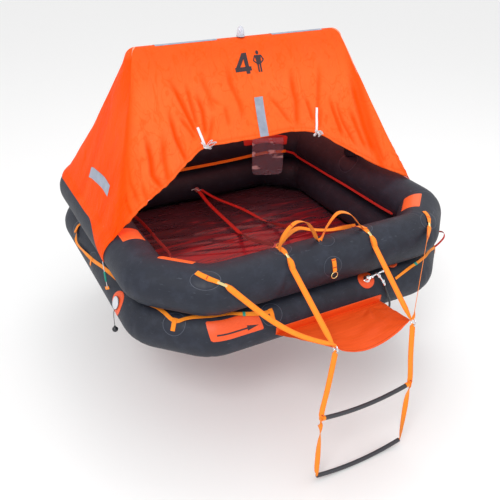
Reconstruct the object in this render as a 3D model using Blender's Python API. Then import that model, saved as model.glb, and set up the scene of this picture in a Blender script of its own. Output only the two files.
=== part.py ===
# Inflatable life raft for four people: two octagonal tubes, an arch under a fabric canopy, and a boarding ladder.
# Metres, +Z up. X runs along the entrance side, the entrance faces -Y, and z = 0 is the waterline.

import bpy
import bmesh
from math import cos, pi, radians, sin, sqrt, tan
from mathutils import Vector

# Driving dimensions of the two inflated tubes
TUBE_RADIUS = 0.110
AXIS_HALF_X = 0.765
AXIS_HALF_Y = 0.770
CORNER_CUT = 0.208
BEND_RADIUS = 0.140
DRAUGHT = 0.030
GAP = 0.0003
LOWER_Z = TUBE_RADIUS - DRAUGHT
UPPER_Z = LOWER_Z + 2 * TUBE_RADIUS + GAP
TUBE_TOP = UPPER_Z + TUBE_RADIUS
TUBE_SIDES = 20
BEND_STEPS = 2

# Runs of half the tubes' axis, from the middle of the front: (length, whether it bends by 45 degrees)
BEND_TANGENT = BEND_RADIUS * tan(radians(22.5))
BEND_LENGTH = BEND_RADIUS * radians(45)
FRONT_HALF = AXIS_HALF_X - CORNER_CUT - BEND_TANGENT
SIDE_HALF = AXIS_HALF_Y - CORNER_CUT - BEND_TANGENT
CHAMFER = CORNER_CUT * sqrt(2) - 2 * BEND_TANGENT
RUNS = (
    (FRONT_HALF, False),
    (BEND_LENGTH, True),
    (CHAMFER, False),
    (BEND_LENGTH, True),
    (2 * SIDE_HALF, False),
    (BEND_LENGTH, True),
    (CHAMFER, False),
    (BEND_LENGTH, True),
    (FRONT_HALF, False),
)
HALF_LOOP = sum(length for length, bends in RUNS)
SIDE_MIDDLE = FRONT_HALF + 2 * BEND_LENGTH + CHAMFER + SIDE_HALF

# Fabrics and webbing
FLOOR_THICK = 0.004
CANOPY_THICK = 0.004
PATCH_THICK = 0.002
WEB_THICK = 0.002
WEB_WIDTH = 0.025
SEAT = 0.0007
PATCH_STEP = 0.018
WEB_LIFT = SEAT + PATCH_THICK + GAP
FLAT_LIFT = SEAT + GAP + WEB_THICK / 2
FLOOR_TOP = -DRAUGHT - GAP

# Canopy: the ridge, and how far its cloth lies from the tube's skin
RIDGE_Y = 0.045
RIDGE_HALF = 0.546
RIDGE_TOP = 1.137
ARCH_RADIUS = 0.050
RIDGE_REACH = (ARCH_RADIUS + CANOPY_THICK + 2 * GAP) / cos(radians(22.5))
ARCH_Z = RIDGE_TOP - RIDGE_REACH
BROW = RIDGE_REACH * cos(radians(45))
CLOTH_LIFT = CANOPY_THICK + 0.0042
WRAP_ROWS = 6

# Boarding ramp and ladder
RING_X = 0.200
RING_Y = -1.200
RING_Z = 0.170
RING_RADIUS = 0.0145
RING_WIRE = 0.0025
RUNG_HALF = 0.240
RUNG_END = 0.2377
RUNG_RADIUS = 0.010
RUNG_SAG = 0.026
UPPER_RUNG_Z = -0.195
LOWER_RUNG_Z = -0.550


def clear_scene():
    for old in list(bpy.data.objects):
        bpy.data.objects.remove(old, do_unlink=True)


def material(name, colour, roughness, metallic=0.0, alpha=1.0):
    made = bpy.data.materials.new(name)
    made.use_nodes = True
    shader = made.node_tree.nodes["Principled BSDF"]
    shader.inputs["Base Color"].default_value = (*colour, 1.0)
    shader.inputs["Roughness"].default_value = roughness
    shader.inputs["Metallic"].default_value = metallic
    shader.inputs["Alpha"].default_value = alpha
    return made


def add_mesh(name, points, faces, finish, smooth_angle=35):
    mesh = bpy.data.meshes.new(name)
    mesh.from_pydata([tuple(point) for point in points], [], faces)
    mesh.shade_smooth()
    mesh.set_sharp_from_angle(angle=radians(smooth_angle))
    mesh.materials.append(finish)
    made = bpy.data.objects.new(name, mesh)
    bpy.context.collection.objects.link(made)
    return made


def skin(name, rows, thick, finish, offset=1.0):
    """A sheet through rows of points, thickened along its normals."""
    wide = len(rows[0])
    points = [point for row in rows for point in row]
    faces = []
    for r in range(len(rows) - 1):
        for c in range(wide - 1):
            low = r * wide + c
            faces.append((low, low + 1, low + wide + 1, low + wide))
    sheet = add_mesh(name, points, faces, finish)
    thicken(sheet, thick, offset)
    return sheet


def thicken(sheet, thick, offset):
    solidify = sheet.modifiers.new("Thickness", "SOLIDIFY")
    solidify.thickness = thick
    solidify.offset = offset


def ribbon(name, points, across, finish, width=WEB_WIDTH, thick=WEB_THICK):
    """Flat webbing along points. Across is its width's direction, one for all points or one each."""
    sides = across if isinstance(across, list) else [across] * len(points)
    rows = []
    for point, side in zip(points, sides):
        half = Vector(side).normalized() * (width / 2)
        rows.append([Vector(point) - half, Vector(point) + half])
    return skin(name, rows, thick, finish, offset=0.0)


def round_bar(name, points, radius, finish, sides_step=2):
    """A round bar or hose: a curve through points with a round bevel and filled ends."""
    curve = bpy.data.curves.new(name, "CURVE")
    curve.dimensions = "3D"
    curve.bevel_depth = radius
    curve.bevel_resolution = sides_step
    curve.use_fill_caps = True
    spline = curve.splines.new("POLY")
    spline.points.add(len(points) - 1)
    for slot, point in zip(spline.points, points):
        slot.co = (*point, 1.0)
    curve.materials.append(finish)
    made = bpy.data.objects.new(name, curve)
    bpy.context.collection.objects.link(made)
    return made


def smooth_route(points, steps):
    """Points along one smooth curve through the given points."""
    route = [Vector(point) for point in points]
    ends = [2 * route[0] - route[1]] + route + [2 * route[-1] - route[-2]]
    found = []
    for i in range(1, len(ends) - 2):
        before, start, end, after = ends[i - 1:i + 3]
        for step in range(steps):
            t = step / steps
            bend = (2 * before - 5 * start + 4 * end - after) * t * t
            twist = (3 * start - before - 3 * end + after) * t ** 3
            found.append(0.5 * (2 * start + (end - before) * t + bend + twist))
    found.append(route[-1])
    return found


def turned(name, profile, place, axis, finish, steps=16):
    """A round piece turned about an axis from (radius, height) points, which start and end on the axis."""
    spin = Vector((0, 0, 1)).rotation_difference(Vector(axis)).to_matrix()
    inner = profile[1:-1]
    points = [Vector((0, 0, profile[0][1]))]
    for radius, height in inner:
        for step in range(steps):
            angle = 2 * pi * step / steps
            points.append(Vector((radius * cos(angle), radius * sin(angle), height)))
    points.append(Vector((0, 0, profile[-1][1])))
    last = len(points) - 1
    faces = []
    for step in range(steps):
        after = (step + 1) % steps
        faces.append((0, 1 + after, 1 + step))
        for row in range(len(inner) - 1):
            low = 1 + row * steps
            faces.append((low + step, low + after, low + steps + after, low + steps + step))
        top = 1 + (len(inner) - 1) * steps
        faces.append((last, top + step, top + after))
    moved = [spin @ point + Vector(place) for point in points]
    return add_mesh(name, moved, faces, finish)


def wire_ring(name, centre, axis, radius, wire, finish):
    """A ring of round wire."""
    steps, sides = 20, 8
    spin = Vector((0, 0, 1)).rotation_difference(Vector(axis)).to_matrix()
    points, faces = [], []
    for i in range(steps):
        turn = 2 * pi * i / steps
        for j in range(sides):
            angle = 2 * pi * j / sides
            reach = radius + wire * cos(angle)
            spot = Vector((reach * cos(turn), reach * sin(turn), wire * sin(angle)))
            points.append(spin @ spot + Vector(centre))
            k, m = (i + 1) % steps, (j + 1) % sides
            faces.append((i * sides + j, k * sides + j, k * sides + m, i * sides + m))
    return add_mesh(name, points, faces, finish, smooth_angle=80)


def station(along):
    """The tubes' axis point and outward direction at a distance from the middle of the front, + to the right."""
    hand = -1 if along < 0 else 1
    left = abs(along)
    x, y, heading = 0.0, -AXIS_HALF_Y, 0.0
    for length, bends in RUNS:
        step = min(left, length)
        if bends:
            turn = step / BEND_RADIUS
            x += BEND_RADIUS * (sin(heading + turn) - sin(heading))
            y += BEND_RADIUS * (cos(heading) - cos(heading + turn))
            heading += turn
        else:
            x += step * cos(heading)
            y += step * sin(heading)
        left -= step
        if left <= 0:
            break
    return Vector((hand * x, y, 0)), Vector((hand * sin(heading), -cos(heading), 0))


def on_tube(axis_z, along, angle, lift=0.0):
    """A point on a tube: angle is in degrees, 0 at its outer side and 90 on top, and lift is off its skin."""
    middle, out = station(along)
    reach = TUBE_RADIUS + lift
    rise = Vector((0, 0, axis_z + reach * sin(radians(angle))))
    return middle + out * (reach * cos(radians(angle))) + rise


def tube_across(axis_z, route):
    """The width's direction of webbing that lies flat on a tube, at each (along, angle, lift) of its route."""
    spots = [on_tube(axis_z, *spot) for spot in route]
    found = []
    for i, (along, angle, lift) in enumerate(route):
        ahead = spots[min(i + 1, len(spots) - 1)] - spots[max(i - 1, 0)]
        normal = on_tube(axis_z, along, angle, lift + 1) - spots[i]
        found.append(normal.cross(ahead).normalized())
    return found


def spread(start, end, count):
    return [start + (end - start) * i / (count - 1) for i in range(count)]


def loop_stations():
    """Distances round the whole loop: both ends of every straight run and the steps within every bend."""
    half = [0.0]
    for length, bends in RUNS:
        steps = BEND_STEPS if bends else 1
        half += [half[-1] + length * (i + 1) / steps for i in range(steps)]
    return half[1:-1] + [HALF_LOOP] + [-spot for spot in reversed(half[1:-1])] + [0.0]


def inflated_tube(name, axis_z, finish):
    stations = loop_stations()
    angles = [360 * i / TUBE_SIDES for i in range(TUBE_SIDES)]
    points = [on_tube(axis_z, spot, angle) for spot in stations for angle in angles]
    faces = []
    for i in range(len(stations)):
        k = (i + 1) % len(stations)
        for j in range(TUBE_SIDES):
            m = (j + 1) % TUBE_SIDES
            low, high = i * TUBE_SIDES, k * TUBE_SIDES
            faces.append((low + j, high + j, high + m, low + m))
    return add_mesh(name, points, faces, finish)


def tube_patch(name, axis_z, along, angles, finish, lift=SEAT):
    """A square-cornered patch glued on a tube: along and angles are each (from, to)."""
    rows = []
    columns = max(3, round(abs(along[1] - along[0]) / PATCH_STEP) + 1)
    for angle in spread(*angles, 6):
        rows.append([on_tube(axis_z, spot, angle, lift) for spot in spread(*along, columns)])
    return skin(name, rows, PATCH_THICK, finish)


def round_patch(name, axis_z, along, angle, radius, finish, lift=SEAT):
    """A round patch glued on a tube."""
    steps = 16
    points = [on_tube(axis_z, along, angle, lift)]
    for reach in (radius / 3, radius * 2 / 3, radius):
        for step in range(steps):
            turn = 2 * pi * step / steps
            lean = angle + (reach * sin(turn) / TUBE_RADIUS) * 180 / pi
            points.append(on_tube(axis_z, along + reach * cos(turn), lean, lift))
    faces = []
    for step in range(steps):
        after = (step + 1) % steps
        faces.append((0, 1 + step, 1 + after))
        for ring in (0, steps):
            low = 1 + ring
            faces.append((low + step, low + steps + step, low + steps + after, low + after))
    patch = add_mesh(name, points, faces, finish)
    thicken(patch, PATCH_THICK, 1.0)
    return patch


def tube_webbing(name, axis_z, route, finish, width=WEB_WIDTH):
    """Webbing that runs round a tube through (along, angle, lift) places, its width up the tube's side."""
    rows = []
    half = width / 2 / TUBE_RADIUS * 180 / pi
    for along, angle, lift in route:
        rows.append([
            on_tube(axis_z, along, angle + half, lift),
            on_tube(axis_z, along, angle - half, lift),
        ])
    return skin(name, rows, WEB_THICK, finish)


def floor(finish):
    """The raft's bottom, a flat sheet that laps under the lower tube to its axis."""
    rim = [station(spot)[0] for spot in loop_stations()]
    count = len(rim)
    points = [point + Vector((0, 0, FLOOR_TOP - FLOOR_THICK)) for point in rim]
    points += [point + Vector((0, 0, FLOOR_TOP)) for point in rim]
    faces = [tuple(reversed(range(count))), tuple(range(count, 2 * count))]
    for i in range(count):
        k = (i + 1) % count
        faces.append((i, k, count + k, count + i))
    return add_mesh("raft_floor", points, faces, finish)


# Where the cloth meets the upper tube, and its slope over each end, which the arch's legs follow inside it
SHOULDER_ANGLE = 40
CLOTH_TOUCH = 58
END_TOP = Vector((RIDGE_HALF + BROW, ARCH_Z + BROW))
TOUCH_REACH = TUBE_RADIUS + CLOTH_LIFT
END_FOOT = Vector((
    AXIS_HALF_X + TOUCH_REACH * cos(radians(CLOTH_TOUCH)),
    UPPER_Z + TOUCH_REACH * sin(radians(CLOTH_TOUCH)),
))
END_SLOPE = (END_FOOT.x - END_TOP.x) / (END_TOP.y - END_FOOT.y)
LEG_CLEAR = (ARCH_RADIUS + CANOPY_THICK + 0.005) * sqrt(1 + END_SLOPE ** 2)


def arch(finish):
    """The inflated arch: two legs that stand on the upper tube, and the ridge between them."""

    def leg_x(z):
        return END_TOP.x + END_SLOPE * (END_TOP.y - z) - LEG_CLEAR

    left = [
        (-AXIS_HALF_X + 0.014, TUBE_TOP + GAP),
        (-AXIS_HALF_X + 0.019, 0.450),
        (-leg_x(0.520), 0.520),
        (-leg_x(0.950), 0.950),
        (-leg_x(1.000) + 0.004, 1.000),
        (-0.500, ARCH_Z - 0.026),
        (-0.455, ARCH_Z - 0.004),
        (-0.400, ARCH_Z),
    ]
    route = left + [(-x, z) for x, z in reversed(left)]
    points, faces = [], []
    sides = 12
    for i, (x, z) in enumerate(route):
        ahead = Vector(route[min(i + 1, len(route) - 1)])
        back = Vector(route[max(i - 1, 0)])
        heading = (ahead - back).normalized()
        if i in (0, len(route) - 1):
            heading = Vector((0, 1)) if i == 0 else Vector((0, -1))
        for j in range(sides):
            angle = 2 * pi * j / sides
            swing = ARCH_RADIUS * cos(angle)
            points.append((x - swing * heading.y, RIDGE_Y + ARCH_RADIUS * sin(angle), z + swing * heading.x))
    for i in range(len(route) - 1):
        for j in range(sides):
            m = (j + 1) % sides
            faces.append((i * sides + m, i * sides + j, (i + 1) * sides + j, (i + 1) * sides + m))
    faces.append(tuple(range(sides)))
    faces.append(tuple(reversed(range((len(route) - 1) * sides, len(route) * sides))))
    return add_mesh("arch_tube", points, faces, finish)


# Rolled-up front edge of the canopy, left to right: (x on the ridge, then the hem's x, y and z)
FRONT_HEM = (
    (-0.546, -0.776, -0.360, 0.475),
    (-0.500, -0.638, -0.314, 0.548),
    (-0.430, -0.525, -0.281, 0.601),
    (-0.340, -0.405, -0.238, 0.671),
    (-0.270, -0.317, -0.215, 0.708),
    (-0.150, -0.183, -0.211, 0.714),
    (0.000, -0.020, -0.212, 0.714),
    (0.140, 0.153, -0.209, 0.717),
    (0.270, 0.300, -0.224, 0.694),
    (0.370, 0.426, -0.265, 0.627),
    (0.470, 0.588, -0.322, 0.536),
    (0.546, 0.776, -0.360, 0.475),
)
# Front corners, which are pulled down over the tube: (y, then the angle on the tube of the cloth's lower edge)
CORNER_FLAP = (
    (-0.326, 57),
    (-0.323, 41),
    (-0.318, 25),
    (-0.308, 7),
    (-0.285, -13),
    (-0.200, 4),
    (-0.120, 26),
)


def canopy_columns():
    """The cloth's columns, from the left corner round the back to the right corner, then along the hem."""
    bend = SIDE_MIDDLE + SIDE_HALF
    back_bend = bend + BEND_LENGTH + CHAMFER
    spots = [(SIDE_MIDDLE + y, angle) for y, angle in CORNER_FLAP]
    sides = [SIDE_MIDDLE + y for y in (-0.030, 0.110, 0.270, 0.430)]
    corner = [bend, bend + BEND_LENGTH / 2, bend + BEND_LENGTH, back_bend, back_bend + BEND_LENGTH / 2]
    spots += [(spot, SHOULDER_ANGLE) for spot in sides + corner]
    left = [(-spot, angle, -RIDGE_HALF) for spot, angle in spots]
    right = [(spot, angle, RIDGE_HALF) for spot, angle in reversed(spots)]
    back = []
    for ridge_x, x, y, z in FRONT_HEM[1:-1]:
        spot = HALF_LOOP - abs(ridge_x)
        back.append((spot if ridge_x > 0 else -spot, SHOULDER_ANGLE, ridge_x))
    columns = []
    for spot, angle, ridge_x in left + back + right:
        touch = max(CLOTH_TOUCH, angle)
        wraps = [
            on_tube(UPPER_Z, spot, touch + (angle - touch) * part, CLOTH_LIFT)
            for part in spread(0.0, 1.0, WRAP_ROWS)
        ]
        columns.append((ridge_x, wraps))
    for ridge_x, x, y, z in reversed(FRONT_HEM):
        top, hem = Vector((ridge_x, RIDGE_Y, RIDGE_TOP)), Vector((x, y, z))
        columns.append((ridge_x, [hem.lerp(top, part) for part in spread(0.16, 0.0, WRAP_ROWS)]))
    return columns


def canopy(finish):
    """The canopy's cloth, from the round of the ridge down to the tube, open at the front below its hem."""
    columns = canopy_columns()
    count = len(columns)
    rows = 5 + WRAP_ROWS
    points, index = [], {}

    def place(spot):
        key = tuple(round(value, 6) for value in spot)
        if key not in index:
            index[key] = len(points)
            points.append(spot)
        return index[key]

    grid = []
    for ridge_x, wraps in columns:
        top = Vector((ridge_x, RIDGE_Y, RIDGE_TOP))
        fall = Vector((wraps[0].x - top.x, wraps[0].y - top.y, 0))
        out = fall.normalized()
        brow = Vector((top.x, top.y, ARCH_Z + BROW)) + out * BROW
        column = [top, brow] + [brow.lerp(wraps[0], part) for part in (0.08, 0.38, 0.70)]
        grid.append([place(spot) for spot in column + wraps])
    faces = []
    for i in range(count):
        k = (i + 1) % count
        for j in range(rows - 1):
            face = [grid[i][j], grid[k][j], grid[k][j + 1], grid[i][j + 1]]
            kept = [spot for n, spot in enumerate(face) if spot != face[n - 1]]
            if len(kept) > 2:
                faces.append(tuple(kept))
    cloth = add_mesh("canopy", points, faces, finish, smooth_angle=50)
    mesh = bmesh.new()
    mesh.from_mesh(cloth.data)
    bmesh.ops.recalc_face_normals(mesh, faces=mesh.faces)
    top_face = max(mesh.faces, key=lambda face: face.calc_center_median().z)
    if top_face.normal.z < 0:
        bmesh.ops.reverse_faces(mesh, faces=mesh.faces)
    mesh.to_mesh(cloth.data)
    mesh.free()
    thicken(cloth, CANOPY_THICK, -1.0)
    return cloth


def canopy_lamp(finish):
    """The lamp on the ridge: a clear dome on a round foot."""
    profile = [(0, 0), (0.021, 0), (0.021, 0.004), (0.012, 0.007), (0.012, 0.034)]
    profile += [(0.008, 0.044), (0, 0.049)]
    return turned("canopy_lamp", profile, (0, RIDGE_Y - 0.005, RIDGE_TOP + GAP), (0, 0, 1), finish)


RAMP_HALF = 0.290
RAMP_SAG = 0.084


def boarding_ramp(finish):
    """The boarding ramp: a strip glued to the lower tube, and an apron that hangs from it to the two rings."""
    rows = []
    xs = spread(-1.0, 1.0, 9)
    for angle in (6, 0, -7, -14):
        rows.append([on_tube(LOWER_Z, RAMP_HALF * x, angle, SEAT) for x in xs])
    root = on_tube(LOWER_Z, 0, -14, SEAT)
    edge_half = RING_X - 0.001
    edge_y = RING_Y + RING_RADIUS + RING_WIRE + 2 * GAP
    for part in (0.12, 0.4, 0.7, 1.0):
        half = RAMP_HALF + (edge_half - RAMP_HALF) * part
        lift = (RING_Z - PATCH_THICK - root.z) * part
        row = []
        for x in xs:
            sag = RAMP_SAG * part * (1 - x * x)
            row.append(Vector((half * x, root.y + (edge_y - root.y) * part, root.z + lift - sag)))
        rows.append(row)
    return skin("boarding_ramp", list(reversed(rows)), PATCH_THICK, finish)


def ramp_rings(finish):
    for name, hand in (("ramp_ring_left", -1), ("ramp_ring_right", 1)):
        wire_ring(name, (hand * RING_X, RING_Y, RING_Z), (1, 0, 0), RING_RADIUS, RING_WIRE, finish)


def ring_spot(side, angle, gap):
    """A place off a ramp ring's wire by a gap, at an angle from +Y in the ring's plane."""
    reach = RING_RADIUS + RING_WIRE + gap
    return Vector((side * RING_X, RING_Y + reach * cos(radians(angle)), RING_Z + reach * sin(radians(angle))))


# Outer straps: (along, angle, lift) from the tab to where the webbing leaves the tube, on the left and the right
OUTER_STRAPS = {
    "left": ((-0.590, 68, 0.0004), (-0.565, 60, 0.0022), (-0.540, 51, 0.0028), (-0.517, 41, 0.0050)),
    "right": ((0.592, 70, 0.0002), (0.580, 63, 0.0002), (0.568, 56, 0.0010), (0.554, 46, 0.0050)),
}
OUTER_TWIST = ((0.70, 0.35, 0.50), (0.45, 0.60, 0.40), (0.15, 0.90, 0.10), (0.0, 0.985, -0.14))
INNER_STRAPS = {"left": -0.208, "right": 0.230}
OUTER_RING_ANGLE = 82
INNER_RING_ANGLE = 14


def side_straps(finish):
    """Two webbing straps to each ramp ring: one from the corner of the raft, one over the front tube."""
    for hand, side in (("left", -1), ("right", 1)):
        places = [on_tube(UPPER_Z, *spot) for spot in OUTER_STRAPS[hand]]
        end = ring_spot(side, OUTER_RING_ANGLE, WEB_THICK / 2)
        places += [places[-1].lerp(end, part) for part in (0.08, 0.5, 0.9, 1.0)]
        widths = [width * -side for width in tube_across(UPPER_Z, OUTER_STRAPS[hand])]
        widths += [Vector((-side * x, y, z)) for x, y, z in OUTER_TWIST]
        ribbon(f"strap_outer_{hand}", places, widths, finish, width=0.020)
        along = INNER_STRAPS[hand]
        places = [on_tube(UPPER_Z, along, angle, FLAT_LIFT) for angle in (112, 98, 84, 70, 56, 44, 36)]
        end = ring_spot(side, INNER_RING_ANGLE, 3 * GAP)
        places += [places[-1].lerp(end, part) for part in (0.5, 0.92, 1.0)]
        ribbon(f"strap_inner_{hand}", places, Vector((1, 0, 0)), finish, width=0.022)


# Entrance handle: two loops of one webbing that stand on the front tube, as (x, height above the tube)
HANDLE = (
    (-0.2235, 0.0008),
    (-0.2140, 0.050),
    (-0.184, 0.094),
    (-0.139, 0.121),
    (-0.087, 0.104),
    (-0.050, 0.052),
    (-0.032, 0.012),
    (-0.021, 0.0018),
    (-0.009, 0.0018),
    (0.002, 0.020),
    (0.022, 0.064),
    (0.074, 0.116),
    (0.141, 0.096),
    (0.195, 0.036),
    (0.222, 0.0068),
    (0.240, 0.0046),
)


def entrance_handle(finish):
    points = [(x, -AXIS_HALF_Y, TUBE_TOP + height) for x, height in HANDLE]
    ribbon("entrance_handle", points, Vector((0, 1, 0)), finish)


# Righting straps over the floor, from the anchor on the back tube to the front tube: (x, y, z)
ANCHOR_Z = LOWER_Z - 0.006
FLOOR_STRAPS = {
    "left": ((0.020, 0.585, 0.030), (0.072, 0.420, 0.002), (0.058, 0.180, -0.004), (0.025, -0.060, 0.010),
             (-0.050, -0.300, 0.110), (-0.130, -0.480, 0.240), (-0.185, -0.610, 0.350)),
    "right": ((0.075, 0.612, 0.046), (0.170, 0.440, 0.004), (0.255, 0.200, -0.004), (0.330, -0.020, 0.008),
              (0.350, -0.260, 0.090), (0.310, -0.460, 0.230), (0.255, -0.610, 0.355)),
}


def floor_straps(finish, knot_finish):
    anchor_y = AXIS_HALF_Y - TUBE_RADIUS
    profile = [(0, 0), (0.015, 0), (0.015, 0.003), (0.006, 0.005), (0.006, 0.012), (0.014, 0.017)]
    profile += [(0.014, 0.026), (0.007, 0.031), (0, 0.033)]
    foot = (0, anchor_y - GAP, ANCHOR_Z)
    turned("floor_strap_anchor", profile, foot, (0, -1, 0), knot_finish, steps=12)
    knot = Vector((0, anchor_y - 0.0215, ANCHOR_Z))
    for hand, side in (("left", -1), ("right", 1)):
        first = Vector(FLOOR_STRAPS[hand][0])
        heading = Vector((first.x - knot.x, first.y - knot.y, 0)).normalized()
        start = knot + heading * 0.0155
        if side > 0:
            start += Vector((0.009, 0, 0.006))
        along = INNER_STRAPS[hand]
        end = on_tube(UPPER_Z, along, 128, FLAT_LIFT)
        close = on_tube(UPPER_Z, along, 115, FLAT_LIFT)
        points = smooth_route([start, *FLOOR_STRAPS[hand], end, close], 2)
        sides = [heading.cross(Vector((0, 0, 1)))] + [Vector((-1, -0.05, 0))] * (len(points) - 1)
        ribbon(f"floor_strap_{hand}", points, sides, finish, width=0.020)


# Grab lines outside: (along, angle, lift) places, on the lower tube
FRONT_TAB = 0.680
ENTRY_TAB = 0.300
GRAB_LINES = {
    "grab_line_front_left": (
        (-0.830, 60, 0.008), (-0.760, 56, 0.009), (-FRONT_TAB, 46, SEAT), (-0.609, 53, 0.009),
        (-0.554, 57, 0.009), (-0.499, 60, 0.009), (-0.400, 59, 0.009), (-ENTRY_TAB, 47, SEAT),
    ),
    "grab_line_front_right": (
        (0.385, 33, SEAT), (0.440, 46, 0.010), (0.526, 54, 0.012), (0.610, 48, 0.010), (0.700, 40, 0.008),
        (0.790, 27, SEAT),
    ),
    "grab_line_left": (
        (-SIDE_MIDDLE - 0.330, 47, SEAT), (-SIDE_MIDDLE - 0.240, 30, 0.010), (-SIDE_MIDDLE - 0.120, 18, 0.010),
        (-SIDE_MIDDLE, 22, SEAT), (-SIDE_MIDDLE + 0.110, 12, 0.010), (-SIDE_MIDDLE + 0.200, 12, 0.010),
        (-SIDE_MIDDLE + 0.300, 20, SEAT),
    ),
    "grab_line_right": (
        (SIDE_MIDDLE - 0.300, 20, SEAT), (SIDE_MIDDLE - 0.200, 12, 0.010), (SIDE_MIDDLE - 0.110, 12, 0.010),
        (SIDE_MIDDLE, 22, SEAT), (SIDE_MIDDLE + 0.120, 14, 0.010), (SIDE_MIDDLE + 0.240, 14, 0.010),
        (SIDE_MIDDLE + 0.330, 22, SEAT),
    ),
    "grab_line_back": (
        (HALF_LOOP - 0.480, 22, SEAT), (HALF_LOOP - 0.360, 13, 0.010), (HALF_LOOP - 0.120, 13, 0.010),
        (HALF_LOOP, 22, SEAT),
    ),
}


def grab_lines(finish):
    """The webbing line round the outside, sewn down where it meets the tube and slack between."""
    for name, route in GRAB_LINES.items():
        if name == "grab_line_back":
            mirrored = [(-along, angle, lift) for along, angle, lift in reversed(route[:-1])]
            route = route + tuple(mirrored)
        tube_webbing(name, LOWER_Z, route, finish, width=0.020)


def inside_line(finish):
    """The grab line inside, on the underside of the upper tube, slack along the left side."""
    right = SIDE_MIDDLE - 0.450
    left = [(-(SIDE_MIDDLE - 0.430), 216, SEAT), (-(SIDE_MIDDLE - 0.330), 204, 0.060)]
    left += [(-SIDE_MIDDLE, 198, 0.085), (-(SIDE_MIDDLE + 0.250), 204, 0.060), (-(SIDE_MIDDLE + 0.480), 216, 0.004)]
    spots = spread(SIDE_MIDDLE + SIDE_HALF, HALF_LOOP, 7)
    back = [(-spot, 216, 0.004) for spot in spots[1:-1]] + [(HALF_LOOP, 216, 0.004)]
    back += [(spot, 216, 0.004) for spot in reversed(spots[:-1])]
    route = left + back + [(SIDE_MIDDLE, 216, 0.004), (right + 0.080, 216, SEAT), (right, 216, SEAT)]
    tube_webbing("inside_line", UPPER_Z, list(reversed(route)), finish, width=0.018)


# Towing eye: its ring hangs just under the tab's lower edge, clear of the tube
TOW_RADIUS = 0.016
TOW_TAB_ANGLE = 2
TOW_Y = -AXIS_HALF_Y - TUBE_RADIUS - RING_WIRE - 0.0010
TOW_Z = UPPER_Z + TUBE_RADIUS * sin(radians(TOW_TAB_ANGLE)) - RING_WIRE - GAP


def tow_eye(finish, metal):
    """The towing eye on the front tube: a webbing tab and a ring that hangs from it."""
    tube_patch("tow_tab", UPPER_Z, (-0.011, 0.011), (TOW_TAB_ANGLE, 32), finish)
    wire_ring("tow_ring", (0, TOW_Y, TOW_Z - TOW_RADIUS), (0, 1, 0), TOW_RADIUS, RING_WIRE, metal)


def labels(finish):
    """Blank labels on the tubes, and the blank sign beside the ramp: (name, tube, along, angles)."""
    rows = (
        ("label_left", UPPER_Z, (-1.120, -1.020), (72, 128)),
        ("label_front_left", UPPER_Z, (-0.780, -0.618), (98, 140)),
        ("label_front_right", UPPER_Z, (0.620, 0.720), (84, 140)),
        ("boarding_sign", LOWER_Z, (-0.590, -0.360), (17, 56)),
    )
    for name, axis_z, along, angles in rows:
        tube_patch(name, axis_z, along, angles, finish)


VALVE_ALONG = -(SIDE_MIDDLE - 0.420)
VALVE_ANGLE = 21


def side_valve(patch_finish, disc_finish, cord_finish, plug_finish):
    """The topping-up valve on the left side, with its plug on a short tether."""
    round_patch("valve_patch", LOWER_Z, VALVE_ALONG, VALVE_ANGLE, 0.052, patch_finish)
    middle, out = station(VALVE_ALONG)
    axis = out * cos(radians(VALVE_ANGLE)) + Vector((0, 0, sin(radians(VALVE_ANGLE))))
    seat = on_tube(LOWER_Z, VALVE_ALONG, VALVE_ANGLE, WEB_LIFT)
    profile = [(0, 0), (0.024, 0), (0.029, 0.003), (0.029, 0.010), (0.024, 0.013), (0, 0.013)]
    turned("valve_disc", profile, seat, axis, disc_finish, steps=20)
    top = seat + axis * 0.0090 - Vector((0, 0, 0.0310))
    route = [top, top + Vector((-0.005, 0, -0.010)), top + Vector((-0.009, 0, -0.035))]
    plug_top = Vector((top.x - 0.010, top.y, 0.0))
    route.append(plug_top)
    round_bar("valve_tether", smooth_route(route, 4), 0.0015, cord_finish)
    profile = [(0, 0), (0.005, 0.0005), (0.006, 0.006), (0.012, 0.012), (0.014, 0.020), (0.010, 0.029), (0, 0.032)]
    turned("valve_plug", profile, plug_top - Vector((0, 0, GAP)), (0, 0, -1), plug_finish, steps=14)


# The gas bottle under the floor and the hose to its inlet: places as (x, y, z)
BOTTLE_RADIUS = 0.050
BOTTLE_Y = -0.515
BOTTLE_X = -0.125
BOTTLE_Z = FLOOR_TOP - FLOOR_THICK - GAP - BOTTLE_RADIUS
INLET_ALONG = 0.225
INLET_ANGLE = 54
HOSE_RADIUS = 0.0055
HOSE = (
    (0.302, -0.8720, 0.1520),
    (0.306, -0.8835, 0.1250),
    (0.318, -0.8930, 0.0900),
    (0.334, -0.8945, 0.0500),
    (0.346, -0.8850, 0.0020),
    (0.352, -0.8540, -0.0420),
    (0.346, -0.7900, -0.0700),
    (0.318, -0.7050, -0.0805),
    (0.282, -0.6300, -0.0840),
    (0.273, -0.5700, BOTTLE_Z),
    (0.273, -0.5385, BOTTLE_Z),
)


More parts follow.
